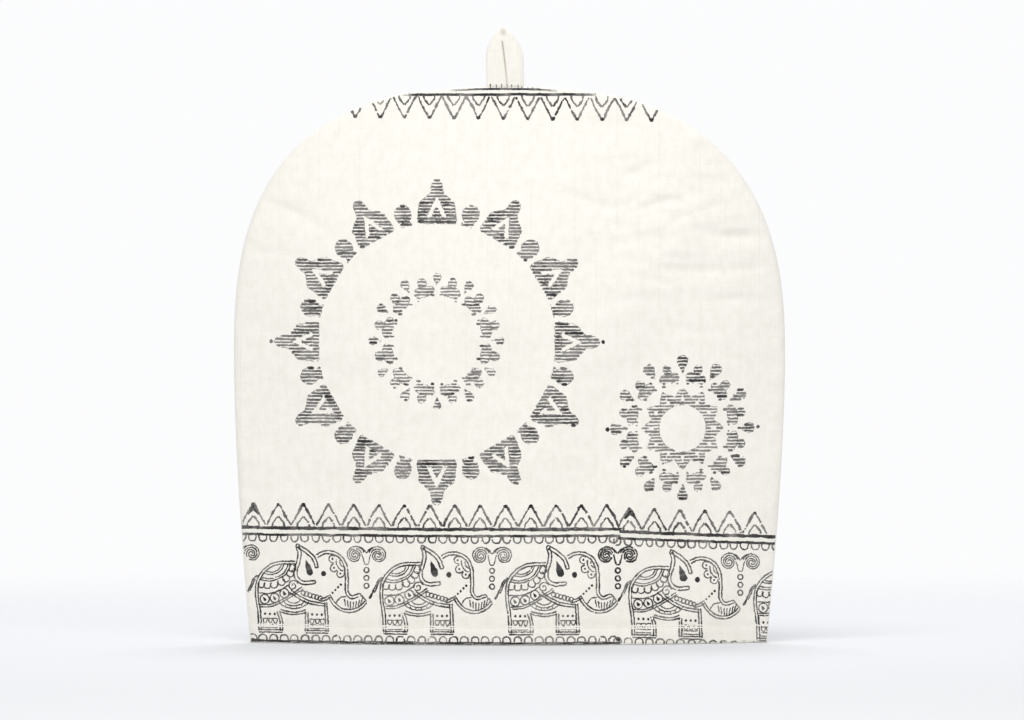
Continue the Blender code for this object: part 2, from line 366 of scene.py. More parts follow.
def cloth_lengths(across, up, shape):
    """Lengths along the cloth from the middle line and from the hem: a parabola's arc, to third order."""
    half = shape.width / 2
    along = across * (1 + (2 / 3) * (shape.widest_depth * across / half**2) ** 2)
    over = np.clip(up - shape.widest_height, 0, None)
    rise = shape.height - shape.widest_height
    return pairs(along, up + (2 / 3) * shape.widest_depth**2 * over**3 / rise**4)


def run_lengths(path):
    """The distance along a path to each of its points: the running sum of its steps."""
    return np.concatenate([[0], np.cumsum(np.linalg.norm(np.diff(path, axis=0), axis=1))])


def points_at(path, length, at):
    """Points at given distances along a path, on the straight runs between its own points."""
    return np.stack([np.interp(at, length, path[:, k]) for k in (0, 1)], axis=1)


def sideways(path):
    """The unit vector to the left of a path at each of its points."""
    along = np.gradient(path, axis=0)
    along /= np.maximum(np.linalg.norm(along, axis=1, keepdims=True), 1e-9)
    return pairs(-along[:, 1], along[:, 0])


def spaced(chain, steps):
    """The chain again in equal steps of length, without its last point."""
    length = run_lengths(chain)
    return points_at(chain, length, np.linspace(0, length[-1], steps + 1)[:-1])


def outline(inset, thinning, shape):
    """A panel's closed outline: left skirt and dome, right dome and skirt, then back along the hem."""

    def skirt(left):
        up = np.linspace(0, shape.widest_height, ARC_SAMPLES)
        across = half_width(up, left, shape, inset)
        return pairs(-across if left else across, up)

    def dome(left):
        power = shape.left_power if left else shape.right_power
        turn = np.linspace(0, np.pi / 2, ARC_SAMPLES)
        across = (shape.width / 2 - inset) * np.cos(turn) ** (2 / power)
        up = (shape.height - shape.widest_height - inset) * np.sin(turn) ** (2 / power)
        return pairs(-across if left else across, up + shape.widest_height)

    stretches = (
        (skirt(True), SKIRT_STEPS),
        (dome(True), LEFT_DOME_STEPS),
        (dome(False)[::-1], RIGHT_DOME_STEPS),
        (skirt(False)[::-1], SKIRT_STEPS),
        (np.stack([skirt(False)[0], skirt(True)[0]]), HEM_STEPS),
    )
    return np.concatenate([spaced(chain, steps // thinning) for chain, steps in stretches])


def ring_grid(edge, distances, shape):
    """Rings between the outline and the middle of the widest line, then that middle point."""
    centre = np.array([0.0, shape.widest_height])
    inwards = 1 - np.asarray(distances) / shape.widest_height
    rings = centre + inwards[:, None, None] * (edge - centre)
    return np.concatenate([rings.reshape(-1, 2), centre[None]])


def ring_faces(rings, around, first):
    """Quads between neighbouring rings and triangles to the middle point, wound alike."""
    i = np.arange(around)
    following = (i + 1) % around
    start = first + np.arange(rings - 1)[:, None] * around
    quads = np.stack([start + i, start + following, start + around + following, start + around + i], axis=-1)
    last = first + (rings - 1) * around
    fan = np.stack([last + i, last + following, np.full(around, first + rings * around)], axis=-1)
    return quads.reshape(-1, 4), fan


def cell_quads(index):
    """The quads between neighbours in a grid of point numbers."""
    return np.stack([index[:-1, :-1], index[1:, :-1], index[1:, 1:], index[:-1, 1:]], axis=-1).reshape(-1, 4)


def make_mesh(name, points, quads, triangles=np.empty((0, 3), int), uv=None, extra=None):
    """A mesh object at the origin from arrays of points, quads and triangles."""
    mesh = bpy.data.meshes.new(name)
    corners = np.concatenate([quads.ravel(), triangles.ravel()]).astype(np.int32)
    starts = np.concatenate([np.arange(len(quads)) * 4, len(quads) * 4 + np.arange(len(triangles)) * 3])
    mesh.vertices.add(len(points))
    mesh.vertices.foreach_set("co", np.ascontiguousarray(points, np.float32).ravel())
    mesh.loops.add(len(corners))
    mesh.loops.foreach_set("vertex_index", corners)
    mesh.polygons.add(len(starts))
    mesh.polygons.foreach_set("loop_start", starts.astype(np.int32))
    mesh.update(calc_edges=True)
    if uv is not None:
        layer = mesh.uv_layers.new(name="cloth")
        layer.data.foreach_set("uv", uv[corners].astype(np.float32).ravel())
    if extra is not None:
        attribute = mesh.attributes.new(extra[0], "FLOAT", "POINT")
        attribute.data.foreach_set("value", extra[1].astype(np.float32))
    mesh.validate()
    mesh.shade_smooth()
    obj = bpy.data.objects.new(name, mesh)
    bpy.context.scene.collection.objects.link(obj)
    return obj


def remove_piece(name):
    """Deletes what an earlier run made under this name."""
    if name in bpy.data.objects:
        bpy.data.objects.remove(bpy.data.objects[name], do_unlink=True)


def finish_piece(obj, material):
    """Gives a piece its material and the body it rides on."""
    obj.data.materials.clear()
    obj.data.materials.append(material)
    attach(obj, "root")
    return obj


def build_panel(name, side, material, node):
    """One panel as a closed wall: outer rings, inner rings, and the strip that joins their outlines."""
    shape = bpy.context.scene.cosy_shape
    remove_piece(name)
    outer_edge = outline(0.0, 1, shape)
    inner_edge = outline(shape.seam_width, INNER_THINNING, shape)
    face_rings = np.linspace(EDGE_RINGS_MM[-1] * MM, shape.widest_height * INNERMOST_RING, FACE_RINGS)
    outer_rings = np.concatenate([np.array(EDGE_RINGS_MM[:-1]) * MM, face_rings])
    inner_rings = np.array(INNER_RINGS_MM) * MM
    outer_flat = ring_grid(outer_edge, outer_rings, shape)
    inner_flat = ring_grid(inner_edge, inner_rings, shape)
    flat = np.concatenate([outer_flat, inner_flat])
    outer = finished_outer(outer_flat[:, 0], outer_flat[:, 1], shape, side)
    inner = finished_inner(inner_flat[:, 0], inner_flat[:, 1], shape, side)
    points = np.stack([flat[:, 0], side * np.concatenate([outer, inner]), flat[:, 1]], axis=1)
    first, around = len(outer_flat), len(inner_edge)
    outer_quads, outer_fan = ring_faces(len(outer_rings), len(outer_edge), 0)
    inner_quads, inner_fan = ring_faces(len(inner_rings), around, first)
    i = np.arange(around)
    near = (INNER_THINNING * i + np.arange(INNER_THINNING + 1)[:, None]) % (INNER_THINNING * around)
    ring, following = first + i, first + (i + 1) % around
    corners = (near[0], ring, near[1]), (near[1], ring, near[2])
    corners += (near[2], ring, following), (near[2], following, near[3])
    rim = [np.stack(three, axis=1) for three in corners]
    quads = np.concatenate([outer_quads, inner_quads[:, ::-1]])
    triangles = np.concatenate([outer_fan, inner_fan[:, ::-1], *rim])
    if side == BACK:
        quads, triangles = quads[:, ::-1], triangles[:, ::-1]
    panel = make_mesh(name, points, quads, triangles, uv=cloth_lengths(flat[:, 0], flat[:, 1], shape))
    finish_piece(panel, material)
    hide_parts(node)
    return panel


def loop_half(up):
    """Half the loop's width at a height above its base: straight legs, then round shoulders up to the tip."""
    straight = LOOP_HEIGHT - LOOP_SHOULDERS
    rise = np.clip((up - straight) / (LOOP_HEIGHT - straight), 0, 1)
    return LOOP_WIDTH / 2 * np.clip(1 - rise**2, 0, 1) ** 0.8


def loop_middle(up):
    """The loop's middle line: it leans left with the square of the height."""
    return LOOP_ACROSS - LOOP_LEAN * (up / LOOP_HEIGHT) ** 2


def loop_parts(across, up):
    """Distance from the loop's side and from its slit, how open the slit is, and the turned tip's fold."""
    offset = across - loop_middle(up)
    slit_line = SLIT_FOOT - SLIT_LEAN * np.clip(up / SLIT_TOP, 0, 1)
    from_slit = np.abs(offset - slit_line * smoothstep((4 - np.abs(offset)) / 3))
    open_slit = 1 - smoothstep((up - SLIT_CLOSE) / SLIT_CLOSING)
    wide, high = TIP_FOLD_HALF
    fold = np.exp(-((offset / wide) ** 2 + ((up - LOOP_HEIGHT + TIP_FOLD) / high) ** 2))
    return loop_half(up) - np.abs(offset), from_slit, open_slit, fold


def loop_painted_shade(across, up):
    """Painted shade on the loop: down the slit, darker at its top, a line inside its right edge, and its
    tip's fold.
    """
    from_side, from_slit, open_slit, fold = loop_parts(across, up)
    slit = np.exp(-((from_slit / 0.42) ** 2)) * open_slit * (0.45 + 0.55 * np.clip(up / 24, 0, 1))
    right_side = (across > LOOP_ACROSS) * np.clip(1.5 - up / 18, 0, 1)
    # Painted shade: a faint dark line just inside the loop's right edge, low down
    edge = 0.22 * np.exp(-(((from_side - 1.6) / 0.5) ** 2)) * right_side
    return np.clip(slit + edge + 0.5 * fold, 0, 1)


def loop_front(across, up):
    """How far the loop's front stands out: thick along each leg, thin at its edges, slit and turned tip."""
    from_side, from_slit, open_slit, fold = loop_parts(across, up)
    side_round = np.sqrt(1 - (1 - np.clip(from_side / 1.6, 0, 1)) ** 2)
    slit_round = np.sqrt(1 - (1 - np.clip(from_slit / 1.3, 0, 1)) ** 2)
    groove = 1 - (1 - slit_round) * (0.06 + 0.93 * open_slit)
    stitch = 0.16 * np.exp(-(((from_side - 2.2) / 0.5) ** 2))
    uneven = 0.10 * cell_noise(across + LOOP_SHIFT, up, 5.5, 6.5, 31)
    sunk = stitch + 1.2 * fold - uneven
    return np.clip(LOOP_THICK / 2 * side_round * groove - sunk * side_round, 0, None)


def build_loop(material):
    """The folded strip: a grid across and up the loop, closer at its edges and slit, mirrored to the back."""
    remove_piece("loop_cloth")
    edge = np.sin(np.linspace(-1, 1, LOOP_COLUMNS + 1) * np.pi / 2)
    near_slit = np.sign(edge) * np.abs(edge) ** 1.35
    rows = 1 - (1 - np.linspace(0, 1, LOOP_ROWS + 1)) ** 1.5
    u, v = np.meshgrid(near_slit, rows, indexing="ij")
    up = v * LOOP_HEIGHT
    across = loop_middle(up) + u * loop_half(up)
    tucked = LOOP_LOW[2] / MM - LOOP_TUCK * (v == 0)
    front = np.stack([across, -loop_front(across, up), up + tucked], axis=-1).reshape(-1, 3)
    points = np.concatenate([front, front * [1, -1, 1]])
    count = len(front)
    index = np.arange(count).reshape(u.shape)
    cells = cell_quads(index)
    foot = index[:, 0]
    close = np.stack([foot[1:], foot[:-1], foot[:-1] + count, foot[1:] + count], axis=1)
    quads = np.concatenate([cells, cells[:, ::-1] + count, close])
    # The painted shade goes into the loop's cloth colour through the fold_shade attribute
    shade = ("fold_shade", np.tile(loop_painted_shade(across, up).ravel(), 2))
    loop = make_mesh("loop_cloth", points * MM, quads, uv=points[:, [0, 2]] * MM, extra=shade)
    weld(loop)
    finish_piece(loop, material)
    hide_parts("hanging_loop")
    return loop


def weld(obj):
    """Points that lie together are made one, and the faces turned to point outwards."""
    shape = bmesh.new()
    shape.from_mesh(obj.data)
    bmesh.ops.remove_doubles(shape, verts=shape.verts, dist=1e-6)
    bmesh.ops.dissolve_degenerate(shape, edges=shape.edges, dist=1e-7)
    bmesh.ops.recalc_face_normals(shape, faces=shape.faces)
    shape.to_mesh(obj.data)
    shape.free()
    obj.data.shade_smooth()


def resample(path, step):
    """The path again in equal steps near the one asked for, with the distances along it and its length."""
    length = run_lengths(path)
    at = np.linspace(0, length[-1], max(4, int(np.ceil(length[-1] / step)) + 1))
    return points_at(path, length, at), at, length[-1]


def panel_front(across, up):
    """How far the front panel's cloth stands out, in millimetres."""
    return finished_outer(across * MM, np.clip(up * MM, 0, None), bpy.context.scene.cosy_shape, FRONT) / MM


def inside_panel(sides):
    """Whether both sides of a ribbon lie on the front panel, a little within its seam and its hem."""
    shape = bpy.context.scene.cosy_shape
    level = gauge(sides[..., 0] * MM, sides[..., 1] * MM, shape)
    edge = (1 - level).min(axis=1) * shape.width / 2 / MM
    return (edge > PRINT_MARGIN) & (sides[..., 1].min(axis=1) > HEM_MARGIN)


def loop_base(across, up):
    """How far the loop's cloth stands out at a height above the surface that the hem rests on."""
    return loop_front(across, up - LOOP_LOW[2] / MM)


def inside_loop(sides):
    """Whether both sides of a ribbon lie on the loop, a millimetre within its straight edges."""
    return np.abs(sides[..., 0] - LOOP_ACROSS).max(axis=1) < LOOP_WIDTH / 2 - 1


def print_strokes(name, strokes, seed, surface=panel_front, inside=inside_panel):
    """Lays ink on cloth: each stroke is a ribbon of uneven width, with rough edges and dry gaps."""
    remove_piece(name)
    rng = np.random.default_rng(seed)
    points, quads, density, total = [], [], [], 0
    for stroke in strokes:
        path, at, end = resample(np.asarray(stroke.path, float), INK_STEP)
        count = len(path)
        normal = sideways(path)
        if np.ndim(stroke.width):
            half = np.interp(at, np.linspace(0, end, len(stroke.width)), stroke.width) / 2
        else:
            half = np.full(count, stroke.width / 2)
            if np.linalg.norm(path[0] - path[-1]) >= 1e-6:
                ends = np.minimum(at, end - at) / max(stroke.width / 2, 1e-6)
                half *= END_WIDTH + END_GAIN * np.sqrt(1 - (1 - np.clip(ends, 0, 1)) ** 2)
        rough = 1 + 2 * stroke.dryness
        path = path + normal * (WANDER * rough * run_noise(count, PATH_RUN, rng))[:, None]
        half = half * (1 + SWELL * rough * run_noise(count, WIDTH_RUN, rng))
        left = half + RAGGED * rough * rng.normal(size=count) * (half > RAGGED_FROM)
        right = half + RAGGED * rough * rng.normal(size=count) * (half > RAGGED_FROM)
        sides = np.stack([path + normal * left[:, None], path - normal * right[:, None]], axis=1)
        spot = (path[:, 0] + INK_SHIFT[0], path[:, 1] + INK_SHIFT[1])
        patchy = cell_noise(*spot, *GAPS) + FINE_SHARE * cell_noise(*spot, *FINE_GAPS)
        keep = inside(sides) & (patchy > DRY_START + DRY_GAIN * stroke.dryness)
        first = total + 2 * np.flatnonzero(keep[:-1] & keep[1:])
        quads.append(np.stack([first, first + 1, first + 3, first + 2], axis=1))
        points.append(sides.reshape(-1, 2))
        tone = stroke.weight * (TONE_MIDDLE + TONE_SWING * cell_noise(*spot, *TONE)) + GAP_SWING * patchy
        density.append(np.repeat(tone, 2))
        total += 2 * count
    flat, quads = np.concatenate(points), np.concatenate(quads)
    used, index = np.unique(quads, return_inverse=True)
    flat, quads, tones = flat[used], index.reshape(-1, 4), np.concatenate(density)[used]
    coords = np.stack([flat[:, 0], -surface(flat[:, 0], flat[:, 1]) - INK_LIFT, flat[:, 1]], axis=1) * MM
    a, b, c = (coords[quads[:, k]] for k in (0, 1, 2))
    turned = np.cross(b - a, c - a)[:, 1] > 0
    quads[turned] = quads[turned][:, ::-1]
    lengths = cloth_lengths(coords[:, 0], coords[:, 2], bpy.context.scene.cosy_shape)
    ink = make_mesh(name, coords, quads, uv=lengths, extra=("ink_weight", tones))
    return finish_piece(ink, made_once("charcoal_print", ink_inputs))


def arc(across, up, radius_across, radius_up, start, end):
    """Points on an ellipse from one angle to another, in degrees counted from the right."""
    count = max(6, int(abs(end - start) / DEGREES_A_STEP) + 2)
    turn = np.radians(np.linspace(start, end, count))
    return pairs(across + radius_across * np.cos(turn), up + radius_up * np.sin(turn))


def curve(*knots, samples=14):
    """A smooth curve through the knots: cubic spans that leave each knot along its neighbours' chord."""
    knots = np.array(knots, float)
    padded = np.concatenate([2 * knots[:1] - knots[1:2], knots, 2 * knots[-1:] - knots[-2:-1]])
    t = np.linspace(0, 1, samples, endpoint=False)[None, :, None]
    p0, p1, p2, p3 = (padded[k : len(padded) - 3 + k, None] for k in range(4))
    spans = p1 + 0.5 * t * (p2 - p0 + t * (2 * p0 - 5 * p1 + 4 * p2 - p3 + t * (3 * (p1 - p2) + p3 - p0)))
    return np.concatenate([spans.reshape(-1, 2), knots[-1:]])


def beside(path, distance):
    """The path moved sideways, to its left where the distance is above nothing."""
    path = np.asarray(path, float)
    return path + distance * sideways(path)


def line(path, width=FINE_LINE, weight=1.0, dryness=0.35):
    """A plain stroke."""
    return Stroke(np.asarray(path, float), width, weight, dryness)


def double(path, apart=1.5, **more):
    """Two plain strokes, half their distance to each side of a path."""
    return [line(beside(path, apart / 2), **more), line(beside(path, -apart / 2), **more)]


def dot(across, up, radius, weight=1.15):
    """A filled spot: a short ribbon whose width is the circle's chord."""
    share = np.linspace(-1, 1, BLOT_STEPS)
    path = pairs(across + radius * share, np.full(BLOT_STEPS, up))
    return Stroke(path, 2 * radius * np.sqrt(1 - share**2), weight, 0.0)


def drop(tail, head, width, weight=1.1):
    """A filled drop from its pointed tail to its round head."""
    share = np.linspace(0, 1, 13)[:, None]
    path = np.asarray(tail) * (1 - share) + np.asarray(head) * share
    profile = width * np.sqrt(np.clip(share[:, 0] ** 1.7 * (1 - share[:, 0] ** 5), 0, None)) * 1.15
    return Stroke(path, profile, weight, 0.0)


def hatch(contours, rng, weight=1.0, width=HATCH_WIDTH):
    """Level strokes at an even pitch where an odd number of contours surround them, and faint outlines."""
    contours = [np.asarray(contour) for contour in contours]
    starts = np.concatenate(contours)
    ends = np.concatenate([np.roll(contour, -1, axis=0) for contour in contours])
    low, high = starts[:, 1].min(), starts[:, 1].max()
    rows = np.arange(math.ceil(low / HATCH_PITCH), math.floor(high / HATCH_PITCH) + 1)
    wide = [contour for contour in contours if np.ptp(contour, axis=0).min() > CONTOUR_LEAST]
    closed = [np.concatenate([contour, contour[:1]]) for contour in wide]
    strokes = [line(contour, CONTOUR_WIDTH, 0.5 * weight, 0.95) for contour in closed]
    for row in rows * HATCH_PITCH:
        crosses = (starts[:, 1] <= row) != (ends[:, 1] <= row)
        a, b = starts[crosses], ends[crosses]
        found = np.sort(a[:, 0] + (row - a[:, 1]) / (b[:, 1] - a[:, 1]) * (b[:, 0] - a[:, 0]))
        for left, right in zip(found[0::2], found[1::2]):
            if right - left < 0.5:
                continue
            outermost = min(row - low, high - row) < HATCH_PITCH
            left, right = left - 0.1 + 0.13 * rng.normal(), right + 0.1 + 0.13 * rng.normal()
            share = np.linspace(0, 1, 8)
            bow = 0.14 * rng.normal() * np.sin(np.pi * share) + 0.15 * rng.normal() * (share - 0.5)
            path = pairs(left + (right - left) * share, row + bow)
            heavy = rng.random() < (0.35 if outermost else 0.04)
            thick = width * (1.22 if heavy else rng.uniform(0.85, 1.1))
            strokes.append(Stroke(path, thick, weight * (1.15 if heavy else 0.88), 0.2))
    return strokes


def turned_contour(contour, centre, degrees, radius=0.0):
    """A contour drawn upright about nothing, moved out by a radius and turned clockwise about a centre."""
    turn = np.radians(degrees)
    across, up = contour[:, 0], contour[:, 1] + radius
    turned_across = centre[0] + across * np.cos(turn) + up * np.sin(turn)
    return pairs(turned_across, centre[1] - across * np.sin(turn) + up * np.cos(turn))


def mirrored(half):
    """A closed contour from the right half of a shape, given bottom to top."""
    half = np.asarray(half, float)
    return np.concatenate([half, half[::-1] * [-1, 1]])


def ellipse(across, up, radius_across, radius_up):
    """An ellipse as a closed contour."""
    return arc(across, up, radius_across, radius_up, 0, 351)


# The rings' centres, in millimetres from the middle of the hem, and their even turns in degrees
LARGE_RING = (-43.4, 180.9)
INNER_RING = (-43.2, 181.7)
SMALL_RING = (103.5, 129.2)
RING_TURNS = 12
TURN_STEP = 360 / RING_TURNS

# In millimetres: a petal's half width, foot and rise, the star's reach and its notches' depth, the clear disc
# in it, and how far out the sprigs and the drops lie
PETAL_HALF, PETAL_FOOT, PETAL_RISE = 12.0, 70.6, 26.8
STAR_REACH, STAR_NOTCH = 24.4, 5.4
CLEAR_DISC = 14.2
INNER_SPRIGS, SMALL_SPRIGS = 29.6, 30.4
SMALL_DROPS = 38.2


def large_ring(rng):
    """Twelve ogee petals and twelve buds round a clear disc, all filled with level hatching."""
    strokes = []
    rise = np.linspace(0, 1, 30)
    narrowed = 1 - 0.1 * smoothstep(rise / 0.4) - 0.58 * smoothstep((rise - 0.42) / 0.3)
    half = PETAL_HALF * narrowed * (1 - rise**8) ** 0.5
    petal = mirrored(pairs(half * np.minimum(1, 0.92 + rise), PETAL_FOOT + PETAL_RISE * rise))
    gap = mirrored([(6.2, 74.4), (3.8, 79.8), (0.6, 86.4)])
    seed = mirrored([(3.1, 74.4), (1.9, 77.3), (0.2, 81.0)])
    bud = np.concatenate([arc(0, 78.6, 5.0, 5.6, -58, 238), [(-4.0, 71.4), (4.0, 71.4)]])
    for k in range(RING_TURNS):
        parts = [turned_contour(part, LARGE_RING, TURN_STEP * k) for part in (petal, gap, seed)]
        strokes += hatch(parts, rng)
        strokes += hatch([turned_contour(bud, LARGE_RING, TURN_STEP * (k + 0.5))], rng)
    strokes += [dot(LARGE_RING[0] + side * 99.3, LARGE_RING[1] + 0.1, 1.15) for side in (-1, 1)]
    return strokes


def sprig(scale):
    """The parts of one three-lobed sprig, its body, its top lobe and two small feet, about nothing."""
    body = ellipse(0, 0.6, 6.2, 3.1)
    lobe = ellipse(0, 5.8, 2.6, 3.0)
    feet = [ellipse(side * 4.3, -2.9, 1.3, 1.3) for side in (-1, 1)]
    return [part * scale for part in (body, lobe, *feet)]


def inner_ring(rng):
    """Twelve sprigs with a small drop between each two, inside the clear disc of the large ring."""
    strokes = []
    tear = mirrored([(0, -4.2), (0.6, -2.6), (1.9, -0.4), (2.6, 1.4), (2.3, 2.9), (1.2, 3.7), (0, 3.9)])
    for k in range(RING_TURNS):
        for part in sprig(1.0):
            placed = turned_contour(part, INNER_RING, TURN_STEP * (k + 0.5), INNER_SPRIGS)
            strokes += hatch([placed], rng, 0.85, 1.1)
        tear_size, reach = rng.uniform(0.85, 1.05), rng.uniform(36.2, 37.8)
        strokes += hatch([turned_contour(tear * tear_size, INNER_RING, TURN_STEP * k, reach)], rng, 0.9, 1.15)
    return strokes


def small_ring(rng):
    """A twelve-pointed star band round a clear disc, with sprigs and drops outside it."""
    turn = np.radians(np.arange(0, 360, 3))
    wave = np.abs(((np.degrees(turn) / TURN_STEP + 0.5) % 1) - 0.5) * 2
    outer = STAR_REACH - STAR_NOTCH * wave
    star = pairs(outer * np.sin(turn), outer * np.cos(turn)) + SMALL_RING
    clear = ellipse(*SMALL_RING, CLEAR_DISC, CLEAR_DISC)
    window = mirrored([(1.0, 17.0), (0.2, 20.3)])
    windows = [turned_contour(window, SMALL_RING, TURN_STEP * k) for k in range(RING_TURNS)]
    strokes = hatch([star, clear, *windows], rng, 0.8, 1.15)
    tear = mirrored([(0, -5.2), (0.9, -3.0), (2.3, -0.4), (3.2, 1.9), (2.9, 3.7), (1.6, 4.8), (0, 5.2)])
    for k in range(RING_TURNS):
        for part in sprig(0.98):
            placed = turned_contour(part, SMALL_RING, TURN_STEP * (k + 0.5), SMALL_SPRIGS)
            strokes += hatch([placed], rng, 0.9, 1.25)
        sized = tear * rng.uniform(0.9, 1.05)
        strokes += hatch([turned_contour(sized, SMALL_RING, TURN_STEP * k, SMALL_DROPS)], rng)
    for across, up, radius in ((-45.0, -0.5, 1.3), (45.4, 0.5, 1.15)):
        strokes.append(dot(SMALL_RING[0] + across, SMALL_RING[1] + up, radius))
    return strokes


# The printed band is struck with one block twice: the second strike lies lower and slopes down to the right
SECOND_STRIKE = 65.5
SECOND_DROP = 1.5
SECOND_SLOPE = 0.046
ZIGZAG_PITCH = 15.12
LOOP_PITCH = 6.36

# Heights in millimetres. The zigzags' feet, tips and inner tips, the lower band's lines, where its loops hang
# from and how far, how far the loops along the hem stand up, the lines along the hem, and the top band's line
LOWER_ZIGZAG = (71.0, 83.7, 76.2)
TOP_ZIGZAG = (0.0, 13.4, 5.4)
BAND_LINES = (69.3, 65.3)
LOOPS_FROM, LOOPS_HANG, LOOPS_STAND = 65.0, -3.9, 3.3
HEM_LINES = (0.8, 1.3, 1.8)
TOP_LINE = 328.7

# The stubs of the motif that the seam cuts off: those at the loop's base, and those past it
STUB_PLACES = (-11.5, -7.9, -4.8, -1.4, 1.2, 5.1, 7.2)
FAR_STUBS = (11.0, 13.7, 17.0)


def sloped(stroke, middle, slope, drop=0.0):
    """A stroke lowered by a drop and, away from a middle, by a slope."""
    fall = drop + slope * (stroke.path[:, 0] - middle)
    return stroke._replace(path=stroke.path - pairs(0 * fall, fall))


def struck(strokes):
    """Strokes of the second strike, lowered and sloped."""
    return [sloped(stroke, SECOND_STRIKE, SECOND_SLOPE, SECOND_DROP) for stroke in strokes]


def zigzag(first, last, heights, rng):
    """Peaks at an even pitch with a smaller peak inside each, drawn as lines that bow a little outwards."""
    strokes = []
    foot, tip, inner_tip = heights
    rise = tip - foot
    for across in np.arange(first, last + 0.1, ZIGZAG_PITCH):
        shift = 0.25 * rng.normal()
        for side in (-1, 1):
            start, end = (across + shift + side * 7.2, foot), (across + shift + side * 0.2, tip)
            middle = (across + side * 4.0 + 0.25 * rng.normal(), foot + 0.47 * rise)
            widths, weight = rng.uniform(0.8, 1.65, 13), rng.uniform(0.75, 1.05)
            strokes.append(line(curve(start, middle, end), widths, weight, 0.5))
            knee = (across + side * 3.3, foot + 0.1 * rise)
            inside = [(across + side * 3.8, foot - 0.1 * rise), knee, (across + side * 0.2, inner_tip)]
            strokes.append(line(inside, rng.uniform(0.75, 1.45, 8), rng.uniform(0.7, 1.0), 0.5))
        shoulder = tip - 0.12 * rise
        cap = [(across - 0.9, shoulder), (across, tip), (across + 0.9, shoulder)]
        strokes.append(line(cap, rng.uniform(1.15, 1.8), 1.2, 0.2))
    return strokes


def loops(first, last, line_at, reach, rng, weight=1.0):
    """A row of small loops that hang from a line, or stand on it where the reach is above nothing."""
    strokes = []
    for across in np.arange(first, last, LOOP_PITCH):
        width = 2.3 + 0.12 * rng.normal()
        turn = np.radians(np.linspace(0, 180, 14))
        shift = across + 0.15 * rng.normal()
        path = pairs(shift + width * np.cos(turn), line_at + reach * np.sin(turn) ** 0.6)
        strokes.append(line(path, rng.uniform(0.8, 1.05), weight * rng.uniform(0.7, 1.05), 0.4))
    return strokes


def level_line(first, last, up, width, rng, dryness=0.25):
    """A level stroke that strays a little up and down between its knots."""
    count = int((last - first) / KNOT_SPACING) + 3
    knots = pairs(np.linspace(first, last, count), up + 0.12 * rng.normal(size=count))
    return line(curve(*knots, samples=6), width, 1.1, dryness)


def lower_band(first, last, lead, foot, rng):
    """The double line with its zigzag above and its hanging loops below, and the loops along the hem."""
    start, end = first - lead, last + 8
    strokes = zigzag(first + 2.0, last, LOWER_ZIGZAG, rng)
    for up, width, dryness in zip(BAND_LINES, (1.95, 1.55), (0.25, 0.15)):
        strokes.append(level_line(start, end, up, width, rng, dryness))
    strokes += loops(first - 5, end, LOOPS_FROM, LOOPS_HANG, rng)
    strokes += loops(first - 5, end, foot, LOOPS_STAND, rng)
    return strokes + [level_line(start, end, up, 0.62, rng, 0.1) for up in HEM_LINES]


def three_runs(path, apart, widths):
    """A heavy line as three thin runs side by side, which lie closely on the round seam."""
    return [Stroke(beside(path, shift * apart), widths, 1.15, 0.05) for shift in (-1, 0, 1)]


def top_band(rng):
    """The same zigzag turned over below a line, cut off by the dome, with a second line at the very edge."""
    strokes = []
    for stroke in zigzag(-79.4 - ZIGZAG_PITCH, 95, TOP_ZIGZAG, rng):
        turned_over = stroke._replace(path=stroke.path * [0.978, -1] + [0, 327.4])
        strokes.append(sloped(turned_over, -10, 0.012))
    head = level_line(-65, 52, TOP_LINE, 0.6, rng, 0.1).path
    strokes += three_runs(head, 0.52, 0.6 * np.clip(3.5 * np.sin(np.linspace(0.06, np.pi - 0.06, 40)), 0, 1))
    edge = curve((-36, 331.1), (-20, 331.9), (0, 332.1), (16, 331.8), (29, 330.9))
    strokes += three_runs(edge, 0.42, 0.52 * np.sin(np.linspace(0.06, np.pi - 0.06, 24)) ** 0.7)
    for across in (*STUB_PLACES, *FAR_STUBS):
        strokes.append(line([(across, 331.8), (across + 0.2, 333.5)], 0.75, 1.0, 0.1))
    return strokes


def top_stubs(rng):
    """Stubs of the band's next motif, which the seam cuts off, at the loop's base."""
    foot = LOOP_LOW[2] / MM
    strokes = []
    for across in STUB_PLACES:
        tip = (across + 0.25 * rng.normal(), foot + rng.uniform(0.8, 1.5))
        strokes.append(line([(across, foot - 0.4), tip], 0.72, 0.85, 0.2))
    return strokes


def spiral(across, up, radius, start, turns):
    """A spiral that winds in evenly from its radius to its middle, turning by whole and part turns."""
    share = np.linspace(0, 1, 60)
    turn = np.radians(start) + 2 * np.pi * turns * share
    reach = radius * (1 - 0.88 * share)
    return pairs(across + reach * np.cos(turn), up + reach * np.sin(turn))


def scroll(across):
    """A forked stem whose two arms roll into spirals, above three rings."""
    strokes = []
    stem, arm = ((2.7, 54.2), (1.9, 51.5), (1.2, 48.2)), ((0, 54.6), (1.7, 56.8), (3.8, 58.3))
    for side in (-1, 1):
        for radius, turns in ((5.7, 1.9), (4.3, 1.5)):
            path = spiral(0, 0, radius, 165, -turns)
            strokes.append(line(pairs(across + side * (path[:, 0] + 7.0), 53.5 + path[:, 1]), 0.8))
        for knots in (stem, arm):
            strokes.append(line(curve(*(np.array(knots) * [side, 1] + [across, 0])), 0.7))
    strokes.append(line([(across - 1.2, 48.0), (across + 1.2, 48.0)], 0.8))
    for up in (44.6, 39.9, 35.2):
        strokes.append(line(arc(across, up, 1.45, 1.5, 40, 400), 0.85, 1.1, 0.2))
    return strokes


def elephant(left, rng):
    """A dressed elephant walking right, in double lines, with its ear, trunk, saddle cloth and garlands."""
    strokes = body_lines() + head_lines() + saddle_lines() + garland_lines() + anklet_lines()
    shift = np.array([left, ELEPHANT_FOOT])
    sized = [stroke._replace(path=stroke.path * ELEPHANT_SIZE + shift) for stroke in strokes]
    return [stroke._replace(weight=stroke.weight * rng.uniform(0.92, 1.12)) for stroke in sized]


